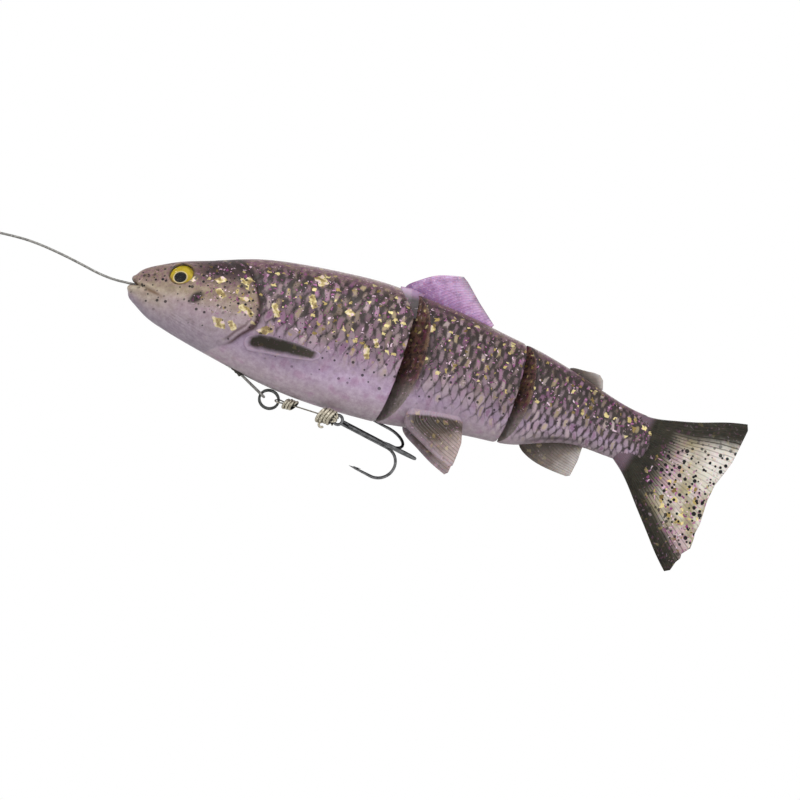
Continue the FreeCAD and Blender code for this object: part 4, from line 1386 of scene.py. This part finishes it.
def make_tongue(material):
    """Purple web that fills the corner between the front body and the dorsal fin."""
    borders = (
        [(83.6, 16.0), (86.0, 16.0), (89.6, 16.0)],
        [(81.4, 25.0), (85.0, 25.4), (89.2, 24.8)],
        [(83.6, 16.0), (83.0, 20.0), (81.4, 25.0)],
        [(89.6, 16.0), (89.8, 20.0), (89.2, 24.8)])

    def plain(x, z, u, v):
        """One tone without rays, with painted shade low down, where it shows through the joint gap."""
        dusk = 0.98 - 0.62 * smoothstep(z, 21.5, 24.5)
        return {"dusk_share": dusk, "fin_across": 0.25 + 0 * u, "fin_out": 0.5 + 0 * u}

    tongue = make_fin("corner_web", borders, (40, 40), lambda x, z, u, v: 3.4 - 2.3 * v ** 1.5,
                      (6, 0.0), upright, material, plain)
    bridge(tongue, ("front", "middle"), (0.0825, 0, 0.02), (0.0890, 0, 0.02), "purple_fin")


def make_joint_webs(material):
    """Reinforced webs that carry each joint between its two bodies."""
    for name, joint_x, low, high, bodies in (
            ("front_joint_web", FRONT_JOINT_X, -16.0, 23.0, ("front", "middle")),
            ("rear_joint_web", REAR_JOINT_X, -11.0, 18.2, ("middle", "tail"))):
        start, end = joint_x - 2.0, joint_x + 2.0
        borders = (
            [(start, low), (joint_x, low + 0.2), (end, low)],
            [(start, high), (joint_x, high - 0.3), (end, high - 0.2)],
            [(start, low), (start, high)],
            [(end, low), (end, high - 0.2)])
        web = make_fin(name + "_plate", borders, (16, 90), lambda x, z, u, v: np.full(x.shape, 0.4),
                       (4, 0.04), upright, material)
        bridge(web, bodies, ((joint_x - 1.0) * MM, 0, 0), ((joint_x + 1.0) * MM, 0, 0), "net", name)


# ---------------------------------------------------------------- eyes
def make_eye(side, iris_finish, lens_finish, rim_finish):
    """Printed iris disc, clear dome and dark rim of one eye; side is -1 for the left."""
    label = "left" if side < 0 else "right"
    normal = EYE_NORMAL * [1, side, 1]
    centre = EYE_CENTRE * [1, side, 1]
    forward = unit(np.array([1.0, 0, 0]) - normal * normal[0])
    upward = np.cross(normal, forward) * side
    upward = upward if upward[2] > 0 else -upward

    def closed_disc(radii, heights):
        """Points and faces of a disc on the eye's axis, with a flat face below."""
        points = disc_points(centre, radii, heights, forward, upward, normal, EYE_SECTORS)
        below = tuple(reversed(range(len(points) - EYE_SECTORS, len(points))))
        return points, [*disc_faces(len(radii) - 1, EYE_SECTORS), below]

    seat = -EYE_SEAT_DEPTH
    top = seat + IRIS_THICKNESS
    radii = np.concatenate([np.linspace(0, EYE_RADIUS - 0.05, 22), [EYE_RADIUS, EYE_RADIUS]])
    heights = np.concatenate([top - 0.16 * (np.linspace(0, 1, 22)) ** 2, [top - 0.25, seat]])
    iris_points, iris_faces = closed_disc(radii, heights)
    pupil = centre + forward * -0.35 + upward * -0.75
    from_pupil = iris_points - pupil
    flat_x = from_pupil @ forward
    flat_z = from_pupil @ upward
    iris_radius = np.hypot(flat_x, flat_z)
    whole = np.concatenate([[0.0], np.repeat(radii[1:], EYE_SECTORS)])
    values = {
        "iris_radius": np.where(iris_radius < 2.4, iris_radius, np.maximum(2.4, whole - 0.05)),
        "iris_turn": np.arctan2(flat_z, flat_x) * 3.0,
        "iris_low": smoothstep(-flat_z, -0.5, 2.5)}
    iris = make_piece(f"{label}_iris_print", iris_points, iris_faces, [iris_finish], values=values)
    settle(iris, "front", "iris", f"{label}_iris")

    sphere = (EYE_RADIUS ** 2 + LENS_DOME ** 2) / (2 * LENS_DOME)
    radii = np.concatenate([np.linspace(0, EYE_RADIUS - 0.1, 20), [EYE_RADIUS, EYE_RADIUS, EYE_RADIUS - 0.2]])
    bulge = np.sqrt(sphere ** 2 - radii[:20] ** 2) - sphere + LENS_DOME
    heights = np.concatenate([top + 1.0 + bulge, [top + 0.9, top + 0.1, top + 0.02]])
    lens = make_piece(f"{label}_eye_dome", *closed_disc(radii, heights), [lens_finish])
    settle(lens, "front", "lens", f"{label}_lens")

    rim_radii = [0, EYE_RADIUS + 0.05]
    rim_line = disc_points(centre, rim_radii, [0, top + 0.75], forward, upward, normal, EYE_SECTORS)[1:]
    rim = tube_piece(f"{label}_eye_rim", rim_line, np.full(EYE_SECTORS, 0.30), rim_finish, closed=True)
    settle(rim, "front", "soft_body")


# ---------------------------------------------------------------- wire parts
def tube_grid(points, radii, sides, closed, flat=(1.0, 1.0), square=1.0, first_up=None):
    """Rings of points round a path; flat scales the section, square makes it boxier."""
    points = np.asarray(points, float)
    count = len(points)
    if closed:
        tangents = np.roll(points, -1, axis=0) - np.roll(points, 1, axis=0)
    else:
        tangents = np.gradient(points, axis=0)
    tangents /= np.linalg.norm(tangents, axis=1, keepdims=True)
    up = np.asarray(first_up if first_up is not None else (0.13, 0.97, 0.2), float)
    rings = []
    angle = 2 * math.pi * np.arange(sides) / sides
    power = 1.0 / square
    wide = np.sign(np.cos(angle)) * np.abs(np.cos(angle)) ** power * flat[0]
    tall = np.sign(np.sin(angle)) * np.abs(np.sin(angle)) ** power * flat[1]
    for i in range(count):
        up = unit(up - tangents[i] * (up @ tangents[i]))
        side = np.cross(tangents[i], up)
        rings.append(points[i] + radii[i] * (np.outer(wide, side) + np.outer(tall, up)))
    return np.array(rings)


def tube_faces(count, sides, closed, first=0):
    """Faces of a tube: its side, and either its two ends or the join between them."""
    faces = grid_faces(count, sides, first)
    last = first + (count - 1) * sides
    if not closed:
        return [*faces, tuple(range(first, first + sides)), tuple(reversed(range(last, last + sides)))]
    for k in range(sides):
        after = (k + 1) % sides
        faces.append((last + k, first + k, first + after, last + after))
    return faces


def tube_piece(name, points, radii, material, sides=16, closed=False, crest=None, **section_shape):
    """Wire or tube along a path; crest(rings) says how far each point stands out of the hollows."""
    rings = tube_grid(points, radii, sides, closed, **section_shape)
    values = {"crest_share": crest(rings)} if crest else None
    faces = tube_faces(len(rings), sides, closed)
    return make_piece(name, rings.reshape(-1, 3), faces, [material], values=values)


RIG_PITCH = math.radians(27.0)
RIG_ALONG = np.array([math.cos(RIG_PITCH), 0, -math.sin(RIG_PITCH)])
RIG_UP = np.array([math.sin(RIG_PITCH), 0, math.cos(RIG_PITCH)])
RING_LOOP_CENTRE = np.array([49.35, 0, -21.2])
TUBE_END_X = 38.0
SLEEVE_LENGTH = 4.0
RING_RADIUS = 3.1
RING_LEAN = math.radians(28.0)
RING_UP = np.array([0, -math.sin(RING_LEAN), math.cos(RING_LEAN)])
RING_AXIS = np.array([0, math.cos(RING_LEAN), math.sin(RING_LEAN)])
RING_LOOP_ANGLE = math.radians(162.0)
TRACE_LOOP_ANGLE = math.radians(8.0)
HOOK_EYE = np.array([75.2, -5.5, -22.2])
HOOK_EYE_RADIUS = 1.5
HOOK_WIRE = 0.5
HOOK_PITCH = math.radians(8.5)
HOOK_YAW = math.radians(15.0)
SHANK_OFFSET = 0.64
SHANK_LENGTH = 18.4
BEND_RADIUS = 5.35
LIMB_LENGTH = 5.2
POINT_LENGTH = 2.6
HOOK_SIDES = 14
RING_STEPS = 320


def ring_offset(angle):
    """From the split ring's centre to its wire, at an angle from the tail's side."""
    return (np.array([1.0, 0, 0]) * math.cos(angle) + RING_UP * math.sin(angle)) * RING_RADIUS


RING_CENTRE = RING_LOOP_CENTRE - ring_offset(RING_LOOP_ANGLE)


def make_rig_sleeve(material):
    """Crimp sleeve on the leader: a short tube pressed flat in two places."""
    start = RING_LOOP_CENTRE + RIG_ALONG * ((TUBE_END_X - RING_LOOP_CENTRE[0]) / RIG_ALONG[0] + 0.15)
    run = np.linspace(0, SLEEVE_LENGTH, 60)
    press = bell(run - 1.3, 0.4) + bell(run - 2.7, 0.4)
    ends = np.sqrt(np.clip(np.minimum(run, SLEEVE_LENGTH - run) / 0.25, 0.3, 1))
    radii = 0.95 * ends * (1 - 0.16 * press)
    points = start + run[:, None] * RIG_ALONG
    sleeve = tube_piece("rig_crimp_sleeve", points, radii, material, sides=32, first_up=(0, 1, 0))
    settle(sleeve, "rig", "sleeve", "rig_sleeve")


def make_split_ring(material):
    """Flat spring wire wound twice, stepping from one layer to the other."""
    turn = np.linspace(math.radians(6), math.radians(714), RING_STEPS)
    layer = 0.26 * (2 * smoothstep(turn, 2 * math.pi - 0.55, 2 * math.pi + 0.55) - 1)
    points = [RING_CENTRE + ring_offset(a + 0.1) + RING_AXIS * off for a, off in zip(turn, layer)]
    fade = end_fade(RING_STEPS, 0.55)
    ring = tube_piece("split_ring_wire", points, 0.4 * fade, material, sides=20,
                      flat=(1.0, 0.58), square=2.2, first_up=RING_AXIS)
    settle(ring, "ring", "ring_steel", "split_ring")


def end_fade(count, least):
    """Radius factors along a wire that narrow it to a share at both cut ends."""
    steps = np.arange(count)
    return np.clip(np.minimum(steps, steps[::-1]) / 3.0, least, 1)


def trace_frame():
    """Ends of the trace's centre line and its direction."""
    start = RING_CENTRE + ring_offset(TRACE_LOOP_ANGLE)
    toward = unit(HOOK_EYE - start)
    _, eye_axis, _ = hook_frame()
    end = HOOK_EYE - unit(toward - eye_axis * (toward @ eye_axis)) * HOOK_EYE_RADIUS
    return start, end, unit(end - start)


def make_wraps(name, from_ring, length, diameter, turns, wire, material, node):
    """Haywire wraps: slanting coils round the trace."""
    start, _, along = trace_frame()
    tilt = np.array([0.25, -0.3, 1.0])
    up = unit(tilt - along * (tilt @ along))
    side = np.cross(along, up)
    steps = int(turns * 28)
    share = np.linspace(0, 1, steps)
    angle = 2 * math.pi * turns * share
    reach = (diameter - wire) / 2 * (0.93 + 0.07 * np.sin(5.3 * share + 1))
    height = reach * np.cos(angle)
    depth = reach * np.sin(angle)
    slant = 0.52 * height
    run = from_ring + wire / 2 + (length - wire) * share + slant
    points = start + run[:, None] * along + height[:, None] * up + depth[:, None] * side
    middle = start + run[:, None] * along

    def crest(rings):
        """1 on the outside of the coils; the hollows between them take painted shade."""
        out = np.linalg.norm(rings - middle[:, None], axis=2)
        return smoothstep(out - np.linalg.norm(points - middle, axis=1)[:, None], 0.05 * wire, 0.42 * wire)

    coil = tube_piece(name, points, wire / 2 * end_fade(steps, 0.6), material, sides=12, crest=crest)
    settle(coil, "trace", "trace_steel", node)


def make_cut_end(material):
    """Curled end of the trace wire that hangs below the hook-end wraps."""
    start, _, along = trace_frame()
    up = unit(np.array([0, 0, 1.0]) - along * along[2])
    middle = start + along * 16.2 - up * 3.0
    angle = np.radians(np.linspace(100, 330, 40))
    points = middle + 0.85 * (np.outer(np.cos(angle), along) + np.outer(np.sin(angle), up))

    def crest(rings):
        """1 on the side that faces away from the body; the side towards it takes painted shade."""
        return smoothstep(points[:, None, 1] - rings[..., 1], -0.1, 0.2)

    tail = tube_piece("wrap_cut_end", points, np.full(40, 0.38), material, sides=12, crest=crest)
    settle(tail, "trace", "trace_steel")


def hook_frame():
    """Shank direction, the axis of the hook's eye, and the direction away from the back."""
    shank = np.array([
        math.cos(HOOK_PITCH) * math.cos(HOOK_YAW), math.cos(HOOK_PITCH) * math.sin(HOOK_YAW),
        -math.sin(HOOK_PITCH)])
    eye_axis = unit(np.array([0, 1.0, 0]) - shank * shank[1])
    down = np.cross(eye_axis, shank)
    return shank, eye_axis, (-down if down[2] > 0 else down)


def hook_line(roll_degrees, start, extra):
    """Centre line and radii of one hook, from its shank round the bend to its point."""
    shank, eye_axis, down = hook_frame()
    roll = math.radians(roll_degrees)
    out = down * math.cos(roll) + eye_axis * math.sin(roll)
    bend_start = SHANK_LENGTH + extra
    points, radii = [], []

    def add(along, away, radius):
        points.append(HOOK_EYE + shank * along + out * (SHANK_OFFSET + away))
        radii.append(radius)

    for along in np.linspace(start, bend_start, 30)[:-1]:
        add(along, 0.0, HOOK_WIRE * (0.97 if along > start + 0.3 else 0.75))
    for a in np.linspace(-math.pi / 2, math.pi / 2, 34):
        add(bend_start + BEND_RADIUS * math.cos(a), BEND_RADIUS * (1 + math.sin(a)), HOOK_WIRE * 0.98)
    for share in np.linspace(0.08, 1, 12):
        add(bend_start - LIMB_LENGTH * share, 2 * BEND_RADIUS, HOOK_WIRE * (0.98 - 0.22 * share))
    for share in np.linspace(0.06, 1, 16):
        taper = HOOK_WIRE * 0.76 * (1 - share) ** 0.9 + 0.03
        add(bend_start - LIMB_LENGTH - POINT_LENGTH * share, 2 * BEND_RADIUS + 0.10 * share, taper)
    barb_base = HOOK_EYE + shank * (bend_start - LIMB_LENGTH - 0.2)
    barb_base = barb_base + out * (SHANK_OFFSET + 2 * BEND_RADIUS - 0.30)
    barb_tip = barb_base + shank * 1.5 - out * 0.45
    return np.array(points), np.array(radii), (barb_base - shank * 0.9, barb_base, barb_tip)


def joined(name, parts, material):
    """One piece from several tubes, each (points, radii, closed), with painted shade on their upper side."""
    points, faces, crest, offset = [], [], [], 0
    for line, radii, closed in parts:
        rings = tube_grid(line, radii, HOOK_SIDES, closed)
        sunk = (np.asarray(line)[:, None, 2] - rings[..., 2]) / radii[:, None]
        crest.append(smoothstep(sunk, -0.75, 0.45).ravel())
        points.append(rings.reshape(-1, 3))
        faces += tube_faces(len(rings), HOOK_SIDES, closed, offset)
        offset += len(rings) * HOOK_SIDES
    values = {"crest_share": np.concatenate(crest)}
    return make_piece(name, np.concatenate(points), faces, [material], values=values)


def hook_parts(roll_degrees, start, extra):
    """Tubes of one hook: its wire, and the barb cut up from its point."""
    line, radii, barb = hook_line(roll_degrees, start, extra)
    barb_line = np.array([barb[0], barb[1], (barb[1] + barb[2]) / 2, barb[2]])
    return [(line, radii, False), (barb_line, np.array([0.12, 0.20, 0.12, 0.03]), False)]


def make_eye_turns(material):
    """Turns of the trace through the hook's eye, side by side round the wire of the eye."""
    shank, eye_axis, down = hook_frame()
    turns, wire = 4.5, 0.72
    share = np.linspace(0, 1, 160)
    place = math.pi + math.radians(66.0) * (2 * share - 1)
    angle = 2 * math.pi * turns * share
    reach = HOOK_WIRE + wire / 2 + 0.04
    radial = shank * np.cos(place)[:, None] + down * np.sin(place)[:, None]
    points = HOOK_EYE + radial * (HOOK_EYE_RADIUS + reach * np.cos(angle))[:, None]
    points = points + eye_axis * (reach * np.sin(angle))[:, None]
    middle = HOOK_EYE + radial * HOOK_EYE_RADIUS

    def crest(rings):
        """1 on the outside of the turns; the hollows between them take painted shade."""
        return smoothstep(np.linalg.norm(rings - middle[:, None], axis=2), reach, reach + 0.42 * wire)

    coil = tube_piece("hook_eye_turns", points, np.full(160, wire / 2), material, sides=12, crest=crest)
    settle(coil, "trace", "trace_steel")


def make_hooks(material):
    """Treble hook: a double hook with the eye, and a third hook brazed to its shank."""
    shank, _, down = hook_frame()
    angles = np.linspace(0, 2 * math.pi, 49)[:-1]
    eye_line = [HOOK_EYE + (shank * math.cos(a) + down * math.sin(a)) * HOOK_EYE_RADIUS for a in angles]
    eye = (np.array(eye_line), np.full(48, HOOK_WIRE), True)
    double = [eye] + hook_parts(18.0, HOOK_EYE_RADIUS, 0.0) + hook_parts(122.0, HOOK_EYE_RADIUS, 0.0)
    settle(joined("double_hook_wire", double, material), "treble", "hook_steel", "double_hook")
    single = hook_parts(-88.0, HOOK_EYE_RADIUS + 2.2, 2.6)
    settle(joined("single_hook_wire", single, material), "treble", "hook_steel", "single_hook")


# ---------------------------------------------------------------- leader
def make_leader(material):
    """Leader wire as one smooth spline, from its tube inside the mouth to its end sleeve."""
    data = bpy.data.curves.new("leader_wire", "CURVE")
    data.dimensions = "3D"
    line = data.splines.new("NURBS")
    line.points.add(len(LEADER_ROUTE) - 1)
    for point, place in zip(line.points, LEADER_ROUTE):
        point.co = (*[value * MM for value in place], 1.0)
    line.order_u = 3
    line.use_endpoint_u = True
    line.resolution_u = 24
    data.bevel_depth = LEADER_DIA / 2 * MM
    data.bevel_resolution = 5
    data.use_fill_caps = True
    data.materials.append(material)
    leader = bpy.data.objects.new("leader_wire", data)
    bpy.context.scene.collection.objects.link(leader)
    settle(leader, "front", "leader_wire", "free_leader")


def finish_cad_node(node, material):
    """Gives a carried-over CAD part its finish."""
    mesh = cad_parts[node].data
    mesh.materials.clear()
    mesh.materials.append(material)


# ---------------------------------------------------------------- the scene
place_camera()

wire_finish = metal_material("grey_wire", (112, 110, 108), (186, 184, 180), 0.30)
make_leader(wire_finish)

light_stage()
make_floor()

finishes = [skin_material(), joint_face_material()]
front = make_body("front_body_skin", (284, 320), (nose, front_end), (-0.5, 88.0), 1.35, finishes)
middle = make_body("middle_body_skin", (136, 280), (face_behind(FRONT_JOINT_X), face_ahead(REAR_JOINT_X)),
                   (92.0, 126.0), 1.0, finishes)
tail = make_body("tail_body_skin", (160, 240), (face_behind(REAR_JOINT_X), stalk_end),
                 (129.0, 171.0), 1.0, finishes)
settle(front, "front", "soft_body", "front_body")
settle(middle, "middle", "soft_body", "middle_body")
bridge(tail, ("tail", "tail_fin"), FLEX_START, FLEX_END, "soft_body", "tail_body")

purple = dorsal_material()
dark_fin = small_fin_material(
    "dark_fin_plastic", root=(46, 34, 26), middle=(78, 62, 50), edge=(172, 154, 150),
    ray=(44, 34, 28), ray_count=14, glitter=0.3)
pectoral = small_fin_material(
    "pectoral_fin_plastic", root=(40, 34, 26), middle=(44, 40, 30), edge=(66, 58, 50),
    ray=(30, 27, 22), ray_count=9, glitter=0.1, skin=(170, 149, 170))
pale_fin = small_fin_material(
    "pale_fin_plastic", root=(58, 48, 40), middle=(116, 104, 98), edge=(180, 172, 168),
    ray=(56, 48, 44), ray_count=16, glitter=0.12)
make_dorsal_fin(purple)
make_tongue(purple)
make_adipose_fin(pale_fin)
make_anal_fin(pale_fin)
for side, label in ((-1, "left"), (1, "right")):
    make_pelvic_fin(side, f"{label}_pelvic_fin", dark_fin)
    make_pectoral_fin(side, f"{label}_pectoral_fin", pectoral)
make_tail_fin(tail_fin_material())

net = net_material()
make_joint_webs(net)
iris_finish, lens_finish, rim_finish = iris_material(), lens_material(), eye_rim_material()
for side in (-1, 1):
    make_eye(side, iris_finish, lens_finish, rim_finish)

sleeve_finish = metal_material("crimp_sleeve", (52, 50, 48), (112, 108, 100), 0.35)
# The hooks carry painted shade on their upper side.
hook_finish = metal_material(
    "black_nickel", (92, 92, 94), (150, 150, 152), 0.22, scale=0.7, shade=(22, 22, 24))
ring_finish = metal_material("ring_spring_steel", (44, 46, 46), (120, 122, 120), 0.22)
# The wrap wire carries painted shade in the hollows of its coils.
wrap_finish = metal_material(
    "wrap_wire_steel", (150, 140, 122), (232, 226, 208), 0.22, shade=(34, 30, 28))
trace_finish = metal_material("trace_wire_steel", (96, 92, 84), (196, 190, 176), 0.25)
make_rig_sleeve(sleeve_finish)
make_split_ring(ring_finish)
make_wraps("ring_end_coils", from_ring=2.0, length=4.2, diameter=4.0, turns=3.2, wire=1.0,
           material=wrap_finish, node="ring_end_wraps")
make_wraps("hook_end_coils", from_ring=14.4, length=5.4, diameter=5.7, turns=3.6, wire=1.2,
           material=wrap_finish, node="hook_end_wraps")
make_cut_end(wrap_finish)
make_eye_turns(wrap_finish)
make_hooks(hook_finish)

for wire in ("rig_leader", "rig_loop", "leader_end_loop"):
    finish_cad_node(wire, wire_finish)
finish_cad_node("leader_end_sleeve", sleeve_finish)
finish_cad_node("trace_wire", trace_finish)
swivel_finish = metal_material("swivel_black_nickel", (44, 42, 40), (120, 116, 108), 0.25)
for swivel_part in ("swivel_barrel", "swivel_outer_eye"):
    finish_cad_node(swivel_part, swivel_finish)
tube_finish = plain_plastic("tube_plastic", (196, 196, 190), (226, 226, 220), 0.35, 0.6)
finish_cad_node("line_tube", tube_finish)
lead = metal_material("cast_lead", (70, 72, 76), (120, 122, 126), 0.5, scale=0.5)
for weight in ("front_keel_weight", "middle_keel_weight"):
    finish_cad_node(weight, lead)
for core in ("front_core_net", "middle_core_net", "tail_core_net"):
    finish_cad_node(core, net)

bpy.context.view_layer.update()
